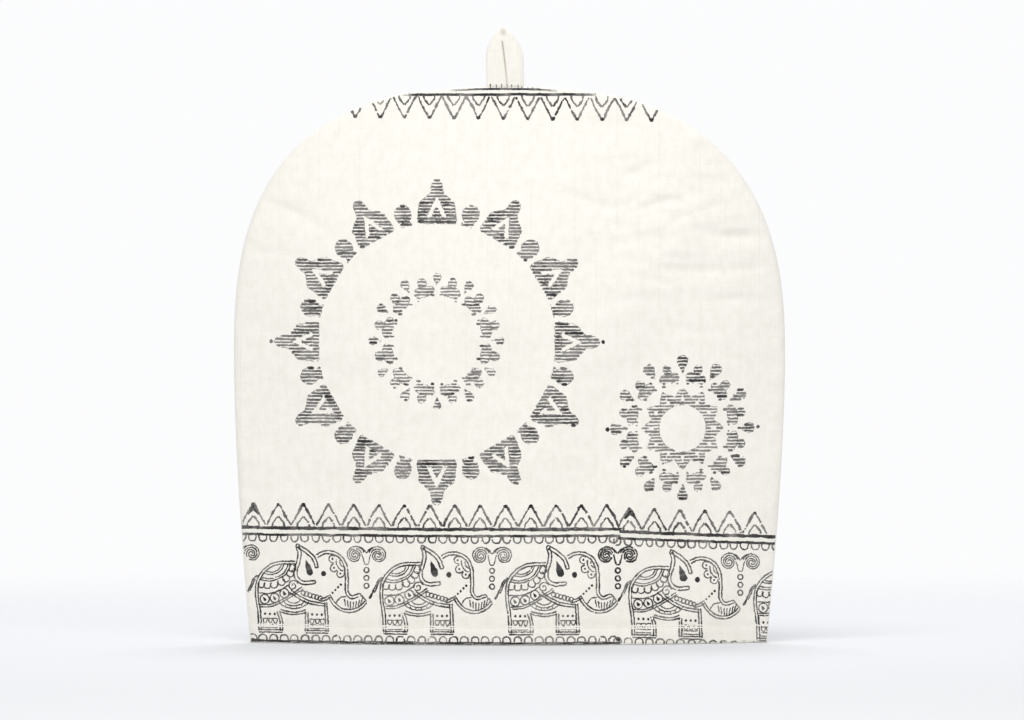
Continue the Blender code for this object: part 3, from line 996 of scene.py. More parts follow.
def body_lines():
    """The back, the legs and their feet, the belly, the tail with its tuft, and the swags over the side."""
    strokes = []
    for apart, *knots in (
        (1.6, (9.5, 0.8), (9.0, 11), (7.5, 22), (8.4, 30.5), (13, 37), (20, 40.6), (31.0, 41.2)),
        (1.5, (22.3, 0.9), (22.1, 7), (20.4, 12.6)),
        (1.4, (21.5, 13.0), (25.4, 11.9), (30, 11.4), (34.4, 12), (37.3, 13.0)),
        (1.5, (37.6, 0.9), (37.7, 7), (37.6, 12.2)),
        (1.5, (50.0, 0.9), (49.6, 9), (49.0, 18.2)),
    ):
        strokes += double(curve(*knots), apart)
    strokes += double([(8.7, 0.9), (23.1, 0.9)], 1.5) + double([(36.9, 0.9), (50.7, 0.9)], 1.5)
    strokes += double(curve((8.4, 33.0), (5.6, 30.6), (4.2, 27.2), (2.6, 24.2)), 1.0)
    strokes.append(drop((3.4, 26.2), (0.2, 20.4), 1.9, 1.25))
    for radius in (9.4, 6.8, 4.2):
        strokes.append(line(arc(29.8, 20.0, radius, radius * 0.62, 190, 350), 0.72))
    for degrees in np.linspace(208, 332, 6):
        turn = math.radians(degrees)
        strokes.append(dot(29.8 + 8.1 * math.cos(turn), 20.0 + 5.0 * math.sin(turn), 0.42))
    return strokes


def head_lines():
    """The ear, the eye, the crown and the raised trunk with its rings, the tusk, and a flower in front."""
    ear_back = curve(
        (32.0, 51.0), (33.3, 46.5), (32.6, 41.5), (31.0, 36.4), (31.8, 31.9), (35.8, 29.4), (42.8, 29.9)
    )
    ear_front = curve((32.0, 51.0), (37.4, 47.8), (41.6, 44.0), (43.9, 38.4))
    strokes = double(np.concatenate([ear_back[::-1], ear_front[1:]]), 1.9)
    strokes += [line([(42.7, 28.9), (42.9, 30.9)]), line([(42.9, 38.2), (44.9, 38.6)])]
    strokes.append(drop((37.0, 43.0), (40.2, 33.6), 5.4, 1.25))
    strokes.append(dot(47.8, 34.9, 1.6, 1.3))
    forehead = ((43.6, 45.0), (48.2, 47.2), (53.6, 47.0), (58.6, 44.0), (61.2, 38.5))
    crown = curve(*forehead, (61.8, 30.5), (61.8, 24.4), (64.6, 21.4), (69.8, 22.8))
    trunk = curve((51.2, 21.8), (54.2, 17.4), (58.8, 14.0), (64.8, 13.4), (70.0, 15.6), (73.2, 18.8))
    strokes += double(crown, 1.7) + double(trunk, 1.6)
    strokes.append(line([(69.6, 23.6), (73.8, 18.6)]))
    strokes += double(curve((45.6, 19.2), (49, 20.2), (52.4, 22.2)), 1.4)
    for share in np.linspace(0, 1, 4):
        strokes.append(dot(53.2 + 5.0 * share, 23.8 + 4.8 * share, 0.7 + 0.14 * share, 1.25))
    for share in np.linspace(0.05, 0.92, 7):
        at = np.array([60.3 + 11.3 * share, 18.9 - 2.7 * math.sin(math.pi * share) + 1.4 * share])
        strokes.append(line([at + [-0.7 + 1.4 * share, 1.9], at + [0.2 - 1.0 * share, -2.4]], 0.74))
    strokes.append(line(curve((55.4, 17.9), (57.8, 21.0), (61.4, 21.8)), 0.74))
    for radius in (3.0, 5.0):
        strokes.append(line(arc(60.4, 42.2, radius, radius * 1.15, 168, 262), 0.8))
    for degrees in (170, 211, 250):
        turn = math.radians(degrees)
        petal = np.array([60.4 + 7.4 * math.cos(turn), 42.2 + 7.6 * math.sin(turn)])
        strokes.append(line(arc(*petal, 2.2, 2.2, degrees - 125, degrees + 125), 0.8))
        strokes.append(dot(*petal, 0.7, 1.2))
    return strokes


def saddle_lines():
    """The saddle cloth: four nested lines from rump to shoulder, and a row of scallops below them."""
    hem = np.array([(8.6, 30.9), (16.0, 30.2), (24.2, 33.6), (28.4, 40.6)])
    top = np.array([17.5, 40.0])
    strokes = [line(curve(*(top + share * (hem - top))), 0.76) for share in (1.0, 0.86, 0.62, 0.48)]
    scallops = curve((10.2, 28.2), (16.6, 27.8), (23.2, 30.2), (27.4, 34.4), (29.6, 39.0))
    for share in np.linspace(0.0, 0.93, 7):
        spot = scallops[int(share * (len(scallops) - 1))]
        strokes.append(line(arc(*spot, 2.1, 2.1, 125 + 60 * share, 385 + 60 * share), 0.78))
    return strokes


def garland_lines():
    """Two garlands over the rump with leaves between them, a spiral, and the chest band with its rings."""
    upper = curve((8.8, 23.0), (15.5, 22.9), (21.5, 24.8), (26.6, 28.0))
    lower = curve((9.4, 16.2), (16.5, 16.7), (25, 20.6), (35, 27.0))
    strokes = [line(upper, 0.76), line(lower, 0.8), line(beside(lower, -1.3), 0.76)]
    for spot in np.array([(12.3, 19.5), (18.3, 20.2), (24.2, 23.1)]):
        strokes.append(line(arc(*spot, 2.7, 2.7, 0, 360), 0.76))
        strokes.append(drop(spot + [-1.0, 1.3], spot + [0.6, -1.2], 2.3, 1.2))
    strokes.append(line(np.array([29.4, 27.6]) + spiral(0, 0, 3.3, 20, 1.5), 0.76))
    strokes += double(curve((27.5, 24.4), (33, 20.9), (40, 17.9), (49.2, 16.6)), 1.6)
    for share in np.linspace(0, 1, 6):
        strokes.append(line(arc(35.4 + 10.4 * share, 23.4 - 3.0 * share, 1.3, 1.3, 0, 360), 0.72))
    return strokes


def anklet_lines():
    """Bands, scallops and beads round the fore and hind feet."""
    strokes = []
    for foot in (10.8, 39.2):
        strokes += [line([(foot, up), (foot + 9.4, up)], 0.7) for up in (2.9, 4.9, 8.2)]
        for k in range(3):
            strokes.append(line(arc(foot + 1.7 + 3.1 * k, 8.0, 1.25, 2.5, 180, 360), 0.6))
            strokes.append(dot(foot + 1.7 + 2.9 * k, 10.9, 0.8))
    return strokes


# Where the elephants and the scrolls stand in the block's two strikes, in millimetres, and the elephants'
# foot line and stretch
ELEPHANT_FOOT = 6.4
ELEPHANT_SIZE = (1.0, 1.025)
ELEPHANT_STARTS = (-159.0, -84.0, -9.0)
SECOND_STARTS = (64.6, 139.8)
SCROLL_STARTS = (-161.6, -85.5, -10.4)
OVERLAP_SCROLL = 64.7
SECOND_SCROLLS = (138.3,)

# Peaks and spots where ink has gathered, in millimetres across and up, and the spots' reach
HEAVY_PEAKS = ((-153.6, 82.6), (72.1, 80.9))
SPOTS = (
    (-153.5, 1.8, 1.6),
    (-150.5, 1.4, 1.2),
    (65.4, 3.2, 1.7),
    (65.8, 63.6, 1.3),
    (66.2, 69.2, 1.2),
    (-3.6, 331.8, 0.7),
)


def blots(rng):
    """Heavy spots where the two strikes of the block meet, at the lower left corner and by the loop."""
    strokes = []
    for across, up in HEAVY_PEAKS:
        chevron = [(across - 3.4, up - 5.6), (across, up - 1.0), (across + 3.4, up - 5.6)]
        strokes.append(line(chevron, np.array([0.9, 2.2, 3.0, 2.2, 0.9]), 1.3, 0.0))
    for across, up, reach in SPOTS:
        for _ in range(4):
            shift = rng.normal(size=2) * reach * 0.4
            radius = reach * rng.uniform(0.35, 0.6)
            strokes.append(dot(across + shift[0], up + abs(shift[1]) * 0.6, radius, 1.3))
    return strokes


def new_group(name, inputs, outputs):
    """An empty node group: inputs give name, kind and value, and outputs name and kind."""
    group = bpy.data.node_groups.new(name, "ShaderNodeTree")
    for label, kind, value in inputs:
        socket = group.interface.new_socket(label, in_out="INPUT", socket_type="NodeSocket" + kind)
        socket.default_value = value
    for label, kind in outputs:
        group.interface.new_socket(label, in_out="OUTPUT", socket_type="NodeSocket" + kind)
    return group


class Wiring:
    """Short calls that add nodes to a tree and join them."""

    def __init__(self, tree):
        self.tree = tree

    def fill(self, node, inputs):
        """Joins each input to the socket given for it, or sets it to the value given."""
        for key, value in dict(inputs).items():
            if isinstance(value, bpy.types.NodeSocket):
                self.tree.links.new(value, node.inputs[key])
            else:
                node.inputs[key].default_value = value
        return node

    def node(self, kind, inputs=(), **settings):
        """A new shader node with its settings and inputs."""
        node = self.tree.nodes.new("ShaderNode" + kind)
        for key, value in settings.items():
            setattr(node, key, value)
        return self.fill(node, inputs)

    def math(self, operation, a, b=0.0, clamp=False):
        """One sum of two numbers."""
        return self.node("Math", {0: a, 1: b}, operation=operation, use_clamp=clamp).outputs[0]

    def mix(self, factor, a, b):
        """A blend of two colours, from the first at 0 to the second at 1."""
        return self.node("Mix", {0: factor, 6: a, 7: b}, data_type="RGBA").outputs[2]

    def noise(self, vector, scale, stretch=(1, 1, 1), detail=2.0, roughness=0.5):
        """Noise in octaves, its coordinates stretched first."""
        spread = self.node("Mapping", {"Vector": vector, "Scale": stretch}).outputs[0]
        inputs = {"Vector": spread, "Scale": scale, "Detail": detail, "Roughness": roughness}
        return self.node("TexNoise", inputs).outputs[0]

    def band(self, value, low, high):
        """A smooth step from 0 at the low value to 1 at the high one."""
        inputs = {"Value": value, "From Min": low, "From Max": high}
        return self.node("MapRange", inputs, interpolation_type="SMOOTHSTEP").outputs[0]


def cotton_group():
    """Handloom cotton along the cloth: plain weave, slubs both ways, faint self stripes, mottling and painted
    shade.
    """
    if "handloom cotton" in bpy.data.node_groups:
        return bpy.data.node_groups["handloom cotton"]
    group = new_group(
        "handloom cotton",
        [
            ("Cloth", "Color", (0.9, 0.87, 0.8, 1)),
            ("Shade", "Color", (0.8, 0.77, 0.7, 1)),
            ("Fold", "Color", (0.5, 0.45, 0.37, 1)),
            ("Thread Pitch", "Float", 0.0005),
            ("Stripe Pitch", "Float", 0.013),
            ("Stripe", "Float", 0.3),
            ("Slub", "Float", 0.5),
        ],
        [("Color", "Color"), ("Roughness", "Float"), ("Height", "Float")],
    )
    w = Wiring(group)
    given = group.nodes.new("NodeGroupInput")
    out = group.nodes.new("NodeGroupOutput")
    uv = w.node("UVMap", uv_map="cloth")
    along, over, _ = w.node("SeparateXYZ", {0: uv.outputs[0]}).outputs
    per_thread = w.math("DIVIDE", 2 * math.pi, given.outputs["Thread Pitch"])
    warp = w.math("SINE", w.math("MULTIPLY", along, per_thread))
    weft = w.math("SINE", w.math("MULTIPLY", over, per_thread))
    weave = w.math("MULTIPLY", warp, weft)
    warp_slub = w.noise(uv.outputs[0], 1, (1500, 60, 1), 2, 0.6)
    weft_slub = w.noise(uv.outputs[0], 1, (70, 1300, 1), 2, 0.6)
    slub = w.math("MAXIMUM", w.band(warp_slub, 0.56, 0.78), w.band(weft_slub, 0.55, 0.76))
    mottle = w.noise(uv.outputs[0], 190, (1, 0.6, 1), 4, 0.65)
    offset = w.math("FRACT", w.math("ADD", w.math("DIVIDE", along, given.outputs["Stripe Pitch"]), 0.5))
    near = w.math("ABSOLUTE", w.math("SUBTRACT", offset, 0.5))
    broken = w.band(w.noise(uv.outputs[0], 1, (60, 22, 1), 2, 0.5), 0.36, 0.62)
    stripe = w.math("MULTIPLY", w.math("SUBTRACT", 1.0, w.band(near, 0.012, 0.034)), broken)
    stripe = w.math("MULTIPLY", stripe, given.outputs["Stripe"])
    dark = w.math("MULTIPLY", slub, given.outputs["Slub"])
    dark = w.math("ADD", dark, stripe)
    dark = w.math("ADD", dark, w.math("MULTIPLY", w.band(mottle, 0.35, 0.7), 0.4), clamp=True)
    woven = w.mix(dark, given.outputs["Cloth"], given.outputs["Shade"])
    # Painted shade: where a piece's fold_shade attribute is set, its colour is mixed towards the painted
    # shade colour
    fold = w.node("Attribute", attribute_name="fold_shade").outputs["Fac"]
    group.links.new(w.mix(fold, woven, given.outputs["Fold"]), out.inputs["Color"])
    group.links.new(w.math("SUBTRACT", 0.93, w.math("MULTIPLY", slub, 0.12)), out.inputs["Roughness"])
    raised = w.math("ADD", w.math("MULTIPLY", weave, 0.35), w.math("MULTIPLY", slub, 0.9))
    raised = w.math("ADD", raised, w.math("MULTIPLY", stripe, 1.5))
    group.links.new(raised, out.inputs["Height"])
    return group


def made_once(name, wire, *settings):
    """The material of this name. The first call makes it and wires its shader's inputs."""
    if name not in bpy.data.materials:
        material = bpy.data.materials.new(name)
        material.use_nodes = True
        w = Wiring(material.node_tree)
        w.fill(w.tree.nodes["Principled BSDF"], wire(w, *settings))
    return bpy.data.materials[name]


def cotton_inputs(w, slub, stripe):
    """Matt cotton with a soft sheen: its colour, roughness and fine relief come from the handloom cotton."""
    cloth = bpy.context.scene.cosy_cloth
    settings = {
        "Cloth": (*cloth.cloth_colour, 1),
        "Shade": (*cloth.shade_colour, 1),
        "Fold": (*cloth.painted_shade_colour, 1),
        "Thread Pitch": cloth.thread_pitch,
        "Stripe Pitch": cloth.stripe_pitch,
        "Stripe": stripe,
        "Slub": slub,
    }
    woven = w.node("Group", settings, node_tree=cotton_group()).outputs
    bump = w.node("Bump", {"Strength": 0.35, "Distance": 0.00012, "Height": woven["Height"]})
    return {
        "Sheen Weight": 0.15,
        "Sheen Roughness": 0.6,
        "Specular IOR Level": 0.25,
        "Base Color": woven["Color"],
        "Roughness": woven["Roughness"],
        "Normal": bump.outputs["Normal"],
    }


def ink_inputs(w):
    """Dry charcoal print: dark where the ink lies thick, greyed by the threads where it is thin."""
    cloth, ink = bpy.context.scene.cosy_cloth, bpy.context.scene.cosy_print
    uv = w.node("UVMap", uv_map="cloth").outputs[0]
    density = w.node("Attribute", attribute_name="ink_weight").outputs["Fac"]
    threads = w.noise(uv, 1, (1700, 1700, 1), 1, 0.5)
    thin = w.math("SUBTRACT", w.math("MULTIPLY", threads, 1.35), w.math("MULTIPLY", density, 0.62))
    bare = w.math("MULTIPLY", w.band(thin, 0.1, 0.6), 0.22)
    tone = w.mix(w.band(density, 0.5, 1.1), (*ink.thin_colour, 1), (*ink.ink_colour, 1))
    base = w.mix(bare, tone, (*cloth.cloth_colour, 1))
    return {"Specular IOR Level": 0.2, "Roughness": 0.9, "Base Color": base}


def thread_inputs(w):
    """Sewing thread: its colour and the cloth's shade, mixed by fine noise as in twisted yarn."""
    cloth = bpy.context.scene.cosy_cloth
    twist = w.noise(w.node("TexCoord").outputs["Object"], 2200, (1, 1, 1), 1, 0.5)
    return {"Roughness": 0.8, "Base Color": w.mix(twist, (*cloth.thread_colour, 1), (*cloth.shade_colour, 1))}


def build_stitches(name, side):
    """The hem's row of stitches: each is a half ellipse carried along a level line, thin at both ends."""
    shape = bpy.context.scene.cosy_shape
    remove_piece(name)
    half = float(half_width(np.array(shape.stitch_height), side == FRONT, shape)) - STITCH_MARGIN * MM
    starts = np.arange(-half, half - shape.stitch_length, shape.stitch_pitch)
    along, about = STITCH_STEPS
    u, turn = np.meshgrid(np.linspace(0, 1, along), np.linspace(0, np.pi, about), indexing="ij")
    rng = np.random.default_rng(61 + side)
    shift = rng.normal(size=(len(starts), 1, 1)) * STITCH_SHIFT * MM
    end = np.sqrt(np.clip(1 - (2 * u - 1) ** 4, 0.02, 1))
    x = starts[:, None, None] + u * shape.stitch_length + 0 * turn
    z = shape.stitch_height + shift + np.cos(turn) * shape.thread_width / 2 * end
    out = finished_outer(x.ravel(), z.ravel(), shape, side).reshape(x.shape)
    out = out - STITCH_SUNK * MM + np.sin(turn) * shape.thread_width * STITCH_RISE * end
    points = np.stack([x, side * out, z], axis=-1).reshape(-1, 3)
    one = cell_quads(np.arange(u.size).reshape(u.shape))
    quads = (np.arange(len(starts))[:, None, None] * u.size + one).reshape(-1, 4)
    if side == BACK:
        quads = quads[:, ::-1]
    thread = made_once("cotton_thread", thread_inputs)
    return finish_piece(make_mesh(name, points, quads), thread)


# The studio's lamps: name, place and what it faces in metres, its width, and the setting that holds its power
LAMPS = (
    ("Key", (-0.35, -1.6, 2.4), (0, 0, 0.2), 1.5, "key_power"),
    ("Behind", (0.1, 1.3, 2.2), (0, 0.1, 0), 1.2, "behind_power"),
    ("Fill", (0.7, -2.5, 1.1), (0, 0, 0.15), 2.4, "fill_power"),
)

# Metres in front of the cosy over which the floor's painted shade grows, the shares of its radius over which
# it fades, the camera's sensor in millimetres, and how far it sees in metres
FRONT_SHADE_REACH = (-0.3, 0.9)
FADE_FROM, FADE_TO = 0.475, 0.985
SENSOR_WIDTH = 36
CAMERA_REACH = 100


def build_stage():
    """A pale floor that fades out into an even pale surround, soft lamps, and a camera square to the face."""
    scene, stage = bpy.context.scene, bpy.context.scene.cosy_stage
    remove_piece("studio_floor")
    turn = np.linspace(0, 2 * np.pi, FLOOR_SPOKES, endpoint=False)
    radius = stage.floor_radius * (np.arange(FLOOR_RINGS + 1) / FLOOR_RINGS) ** 1.5
    grid = pairs(radius[1:, None] * np.cos(turn), radius[1:, None] * np.sin(turn)).reshape(-1, 2)
    flat = np.concatenate([grid, [[0, 0]]]) - [0, stage.floor_forward]
    outward, _ = ring_faces(FLOOR_RINGS, FLOOR_SPOKES, 0)
    spoke = np.arange(FLOOR_SPOKES)
    middle = np.stack([spoke, (spoke + 1) % FLOOR_SPOKES, np.full(FLOOR_SPOKES, len(grid))], axis=-1)
    points = np.concatenate([flat, np.zeros((len(flat), 1))], axis=1)
    floor = make_mesh("studio_floor", points, outward[:, ::-1], middle)
    floor.data.materials.append(made_once("pale_floor", floor_inputs, stage))

    world = bpy.data.worlds.new("Pale surround")
    scene.world = world
    world.use_nodes = True
    w = Wiring(world.node_tree)
    seen = w.node("LightPath").outputs["Is Camera Ray"]
    tint = w.mix(seen, (*stage.light_colour, 1), (*stage.surround_colour, 1))
    strength = w.math("ADD", w.math("MULTIPLY", seen, 1 - stage.surround_light), stage.surround_light)
    w.fill(w.tree.nodes["Background"], {"Color": tint, "Strength": strength})

    for name, place, target, size, power in LAMPS:
        add_lamp(name, place, target, size, getattr(stage, power))
    add_camera(stage)
    scene.view_settings.view_transform = "Standard"


def floor_inputs(w, stage):
    """A matt floor with painted shade, darker in front where the key lamp stands over it, fading out with the
    distance.
    """
    place = w.node("TexCoord").outputs["Object"]
    forward = w.math("MULTIPLY", w.node("SeparateXYZ", {0: place}).outputs[1], -1.0)
    # Painted shade: the floor's colour darkens towards the front, where the key lamp lights it most
    tone = w.mix(w.band(forward, *FRONT_SHADE_REACH), (*stage.floor_colour, 1), (*stage.front_shade_colour, 1))
    from_middle = w.node("VectorMath", {0: place, 1: (0, stage.floor_forward, 0)}, operation="ADD").outputs[0]
    away = w.node("VectorMath", {0: from_middle}, operation="LENGTH").outputs["Value"]
    fade = w.band(away, stage.floor_radius * FADE_FROM, stage.floor_radius * FADE_TO)
    alpha = w.math("SUBTRACT", 1.0, fade)
    return {"Roughness": 0.95, "Specular IOR Level": 0.1, "Base Color": tone, "Alpha": alpha}


def add_lamp(name, place, target, size, power):
    """A round area lamp at a place, facing a target."""
    remove_piece(name)
    lamp = bpy.data.lights.new(name, "AREA")
    lamp.shape = "DISK"
    lamp.size = size
    lamp.energy = power
    obj = bpy.data.objects.new(name, lamp)
    obj.location = place
    obj.rotation_euler = aim(np.array(target) - np.array(place))
    bpy.context.scene.collection.objects.link(obj)


def aim(toward):
    """The turn that points a lamp or a camera along a direction, upright."""
    level = math.hypot(toward[0], toward[1])
    return (math.atan2(level, -toward[2]), 0, math.atan2(-toward[0], toward[1]))


def add_camera(stage):
    """Square to the face: the frame's width at the cosy is the photograph's 1024 pixels at 0.6 mm each."""
    remove_piece("Camera")
    data = bpy.data.cameras.new("Camera")
    data.sensor_width = SENSOR_WIDTH
    data.lens = SENSOR_WIDTH * stage.camera_distance / stage.frame_width
    data.clip_end = CAMERA_REACH
    camera = bpy.data.objects.new("Camera", data)
    rise = math.radians(stage.camera_rise)
    target = np.array([stage.target_across, 0, stage.target_up])
    back = np.array([0, -math.cos(rise), math.sin(rise)]) * stage.camera_distance
    camera.location = target + back
    camera.rotation_euler = aim(-back)
    bpy.context.scene.collection.objects.link(camera)
    bpy.context.scene.camera = camera


def number(name, description, default, **more):
    """A number among the settings."""
    return bpy.props.FloatProperty(name=name, description=description, default=default, **more)


def length(name, description, default):
    """A length among the settings, in metres."""
    return number(name, description, default, unit="LENGTH", precision=4)


def flat_size(name, description, default):
    """A flat piece's width and length among the settings, in metres."""
    return bpy.props.FloatVectorProperty(
        name=name, description=description, default=default, size=2, unit="LENGTH"
    )


def colour(name, description, default):
    """A colour among the settings."""
    return bpy.props.FloatVectorProperty(
        name=name, description=description, default=default, subtype="COLOR", min=0, max=1
    )


class CosyShape(bpy.types.PropertyGroup):
    """The cosy's measures"""

    width: length("Width", "Widest measure across a panel", float(FRONT_HIGH[0] - FRONT_LOW[0]))
    height: length("Height", "From the hem to the top seam", float(FRONT_HIGH[2] - FRONT_LOW[2]))
    widest_height: length("Widest height", "Height of the widest line above the hem", 0.1695)
    left_taper: length("Left taper", "How much narrower the left half is at the hem", 0.0098)
    right_taper: length("Right taper", "How much narrower the right half is at the hem", 0.0108)
    taper_power: number("Taper power", "How late the taper sets in", 1.6)
    left_power: number("Left power", "Squareness of the left of the dome", 2.73)
    right_power: number("Right power", "Squareness of the right of the dome", 2.6)
    hem_depth: length("Hem depth", "How far a panel stands out at the hem", 0.048)
    widest_depth: length("Widest depth", "How far a panel stands out at its widest line", 0.0455)
    roll_height: length("Seam roll height", "How far the padding stands out beside the seam", 0.0026)
    roll_width: length("Seam roll width", "How wide the padding's roll beside the seam is", 0.004)
    wall: length("Wall", "Thickness of the padded cloth", 0.0055)
    seam_width: length("Seam width", "Cloth taken up inside the seam", 0.007)
    seam_gap: length("Seam gap", "Gap between the two panels at the seam", 0.0003)
    hem_round: length("Hem rounding", "Radius of the turned hem", 0.0018)
    stitch_height: length("Stitch height", "Height of the hem's row of stitches", 0.011)
    stitch_dent: length("Stitch dent", "How far the stitches draw the cloth in", 0.00045)
    hem_fold: length("Hem fold", "How far the turned-up cloth thickens the hem", 0.0003)
    stitch_length: length("Stitch length", "Length of one stitch", 0.0024)
    stitch_pitch: length("Stitch pitch", "From one stitch to the next", 0.0031)
    thread_width: length("Thread width", "Width of the sewing thread", 0.00055)
    pucker_height: length("Pucker height", "Height of the puckers along the seam", 0.0003)
    pucker_reach: length("Pucker reach", "How far the puckers run in from the seam", 0.013)
    panel_area: number("Panel area", "Flat area of a panel in square metres", 0.109)
    panel_flat: flat_size("Panel cut", "Width and length a panel is cut to", (0.348, 0.343))
    strip_flat: flat_size("Strip cut", "Width and length of the loop's folded strip", (0.0112, 0.072))


class CosyCloth(bpy.types.PropertyGroup):
    """The cotton's colours and its thread and stripe pitch"""

    cloth_colour: colour("Cloth", "Colour of the cotton", (0.905, 0.872, 0.802))
    shade_colour: colour("Slubs", "Colour of thick threads and stripes", (0.80, 0.765, 0.685))
    # The colour of the shade painted into the loop's slit, right edge and folded tip
    painted_shade_colour: colour("Fold", "Colour deep in a folded edge", (0.50, 0.45, 0.37))
    thread_colour: colour("Thread", "Colour of the sewing thread", (0.93, 0.905, 0.85))
    thread_pitch: length("Thread pitch", "Spacing of the woven threads", 0.0005)
    stripe_pitch: length("Stripe pitch", "Spacing of the faint woven stripes", 0.013)


class CosyPrint(bpy.types.PropertyGroup):
    """The ink's colours and the print's chance"""

    ink_colour: colour("Ink", "Colour of thick ink", (0.036, 0.034, 0.034))
    thin_colour: colour("Thin ink", "Colour of thin ink", (0.19, 0.18, 0.174))
    seed: bpy.props.IntProperty(name="Seed", description="Changes the chance in the print", default=17)


class CosyStage(bpy.types.PropertyGroup):
    """The camera, the floor, the surround and the lamps"""

    camera_distance: length("Camera distance", "From the camera to the cosy", 8.0)
    camera_rise: number("Camera rise", "Degrees above level", 1.0)
    frame_width: length("Frame width", "Width of the picture at the cosy", 0.6144)
    target_across: length("Target across", "Where the camera looks, across", 0.0015)
    target_up: length("Target up", "Where the camera looks, up", 0.1695)
    floor_radius: length("Floor radius", "Radius of the pale floor", 2.0)
    floor_forward: length("Floor forward", "How far the floor's middle lies in front of the cosy", 0.6)
    floor_colour: colour("Floor", "Colour of the floor", (0.795, 0.805, 0.825))
    # Painted shade: the floor's colour in front, darker to hold back the key lamp's light there
    front_shade_colour: colour("Floor in front", "Colour of the floor under the key lamp", (0.72, 0.727, 0.738))
    surround_colour: colour("Surround", "Colour seen behind the cosy", (0.972, 0.976, 0.985))
    light_colour: colour("Surround light", "Colour of the surround's light", (0.97, 0.98, 1.0))
    surround_light: number("Surround strength", "Strength of its light", 0.61)
    key_power: number("Key", "Power of the key lamp", 30.6, unit="POWER")
    behind_power: number("Behind", "Power of the lamp behind", 19, unit="POWER")
    fill_power: number("Fill", "Power of the fill lamp", 13.5, unit="POWER")


# Each cotton's name, what wires it, and how strongly its slubs and its stripes show
PANEL_COTTON = ("panel_cotton", cotton_inputs, 0.42, 0.34)
LOOP_COTTON = ("loop_cotton", cotton_inputs, 0.35, 0.0)

# The rings' pieces and what draws each
RINGS = (("large_ring_print", large_ring), ("inner_ring_print", inner_ring), ("small_ring_print", small_ring))


class COSY_OT_front_panel(bpy.types.Operator):
    """Builds the front panel's padded cloth"""

    bl_idname = "cosy.front_panel"
    bl_label = "Front panel"

    def execute(self, context):
        material = made_once(*PANEL_COTTON)
        build_panel("front_cloth", FRONT, material, "front_panel")
        return {"FINISHED"}


class COSY_OT_back_panel(bpy.types.Operator):
    """Builds the back panel's padded cloth"""

    bl_idname = "cosy.back_panel"
    bl_label = "Back panel"

    def execute(self, context):
        material = made_once(*PANEL_COTTON)
        build_panel("back_cloth", BACK, material, "back_panel")
        return {"FINISHED"}


class COSY_OT_hanging_loop(bpy.types.Operator):
    """Builds the folded hanging loop"""

    bl_idname = "cosy.hanging_loop"
    bl_label = "Hanging loop"

    def execute(self, context):
        build_loop(made_once(*LOOP_COTTON))
        return {"FINISHED"}


class COSY_OT_stitches(bpy.types.Operator):
    """Sews the hem's row of stitches on both panels"""

    bl_idname = "cosy.stitches"
    bl_label = "Hem stitches"

    def execute(self, context):
        build_stitches("front_stitches", FRONT)
        build_stitches("back_stitches", BACK)
        return {"FINISHED"}


class COSY_OT_rings(bpy.types.Operator):
    """Prints the three hatched rings"""

    bl_idname = "cosy.rings"
    bl_label = "Printed rings"

    def execute(self, context):
        seed = context.scene.cosy_print.seed
        for step, (name, draw) in enumerate(RINGS):
            strokes = draw(np.random.default_rng(seed + step))
            print_strokes(name, strokes, seed + 10 + step)
        return {"FINISHED"}


class COSY_OT_borders(bpy.types.Operator):
    """Prints the zigzag and loop borders at the top and the foot"""

    bl_idname = "cosy.borders"
    bl_label = "Printed borders"

    def execute(self, context):
        seed = context.scene.cosy_print.seed
        rng = np.random.default_rng(seed + 20)
        strokes = lower_band(-155.6, SECOND_STRIKE - 7.2, 8, 1.9, rng)
        strokes += struck(lower_band(SECOND_STRIKE + 4.0, 160, 4, 2.7, rng)) + blots(rng)
        print_strokes("lower_border_print", strokes, seed + 21)
        print_strokes("top_border_print", top_band(rng), seed + 22)
        print_strokes("top_stub_print", top_stubs(rng), seed + 23, loop_base, inside_loop)
        return {"FINISHED"}


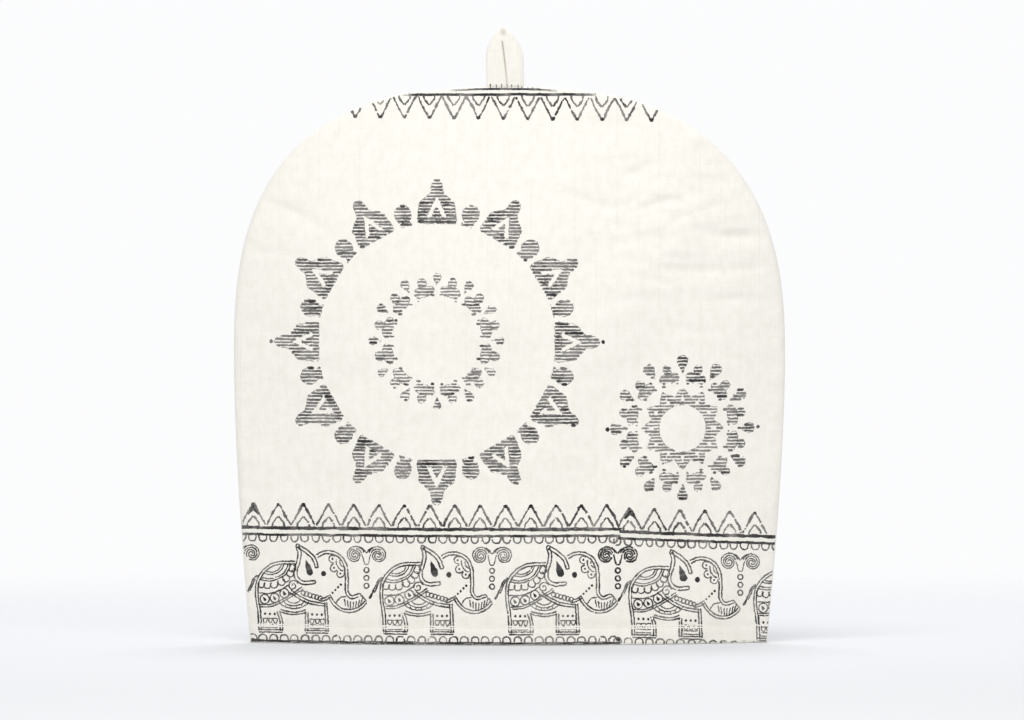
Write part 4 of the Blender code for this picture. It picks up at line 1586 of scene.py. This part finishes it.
class COSY_OT_elephants(bpy.types.Operator):
    """Prints the row of elephants with the scrolls between them"""

    bl_idname = "cosy.elephants"
    bl_label = "Printed elephants"

    def execute(self, context):
        seed = context.scene.cosy_print.seed
        rng = np.random.default_rng(seed + 30)
        strokes = []
        for left in ELEPHANT_STARTS:
            strokes += elephant(left, rng)
        for left in SECOND_STARTS:
            strokes += struck(elephant(left, rng))
        print_strokes("elephant_print", strokes, seed + 31)
        strokes = []
        for across in SCROLL_STARTS:
            strokes += scroll(across)
        for stroke in scroll(OVERLAP_SCROLL):
            strokes.append(stroke._replace(width=stroke.width * 1.3, weight=stroke.weight * 1.25))
        for across in SECOND_SCROLLS:
            strokes += struck(scroll(across))
        print_strokes("scroll_print", strokes, seed + 32)
        return {"FINISHED"}


class COSY_OT_stage(bpy.types.Operator):
    """Sets the pale floor, the soft lamps and the camera"""

    bl_idname = "cosy.stage"
    bl_label = "Studio"

    def execute(self, context):
        build_stage()
        return {"FINISHED"}


class COSY_PT_panel(bpy.types.Panel):
    """Lists the steps that build the tea cosy"""

    bl_idname = "COSY_PT_panel"
    bl_label = "Tea cosy"
    bl_space_type = "VIEW_3D"
    bl_region_type = "UI"
    bl_category = "Tea cosy"

    def draw(self, context):
        for step in STEPS:
            self.layout.operator(step.bl_idname)


STEPS = (
    COSY_OT_stage,
    COSY_OT_front_panel,
    COSY_OT_back_panel,
    COSY_OT_hanging_loop,
    COSY_OT_stitches,
    COSY_OT_borders,
    COSY_OT_rings,
    COSY_OT_elephants,
)
SETTINGS = {
    "cosy_shape": CosyShape,
    "cosy_cloth": CosyCloth,
    "cosy_print": CosyPrint,
    "cosy_stage": CosyStage,
}


def register():
    """Adds the settings, the steps and the panel to Blender."""
    for cls in (*SETTINGS.values(), *STEPS, COSY_PT_panel):
        bpy.utils.register_class(cls)
    for name, cls in SETTINGS.items():
        setattr(bpy.types.Scene, name, bpy.props.PointerProperty(type=cls))


def unregister():
    """Takes them away again."""
    for name in SETTINGS:
        delattr(bpy.types.Scene, name)
    for cls in (COSY_PT_panel, *STEPS[::-1], *SETTINGS.values()):
        bpy.utils.unregister_class(cls)


def main():
    """Runs every step."""
    register()
    for step in STEPS:
        group, name = step.bl_idname.split(".")
        getattr(getattr(bpy.ops, group), name)()


if __name__ == "__main__":
    main()
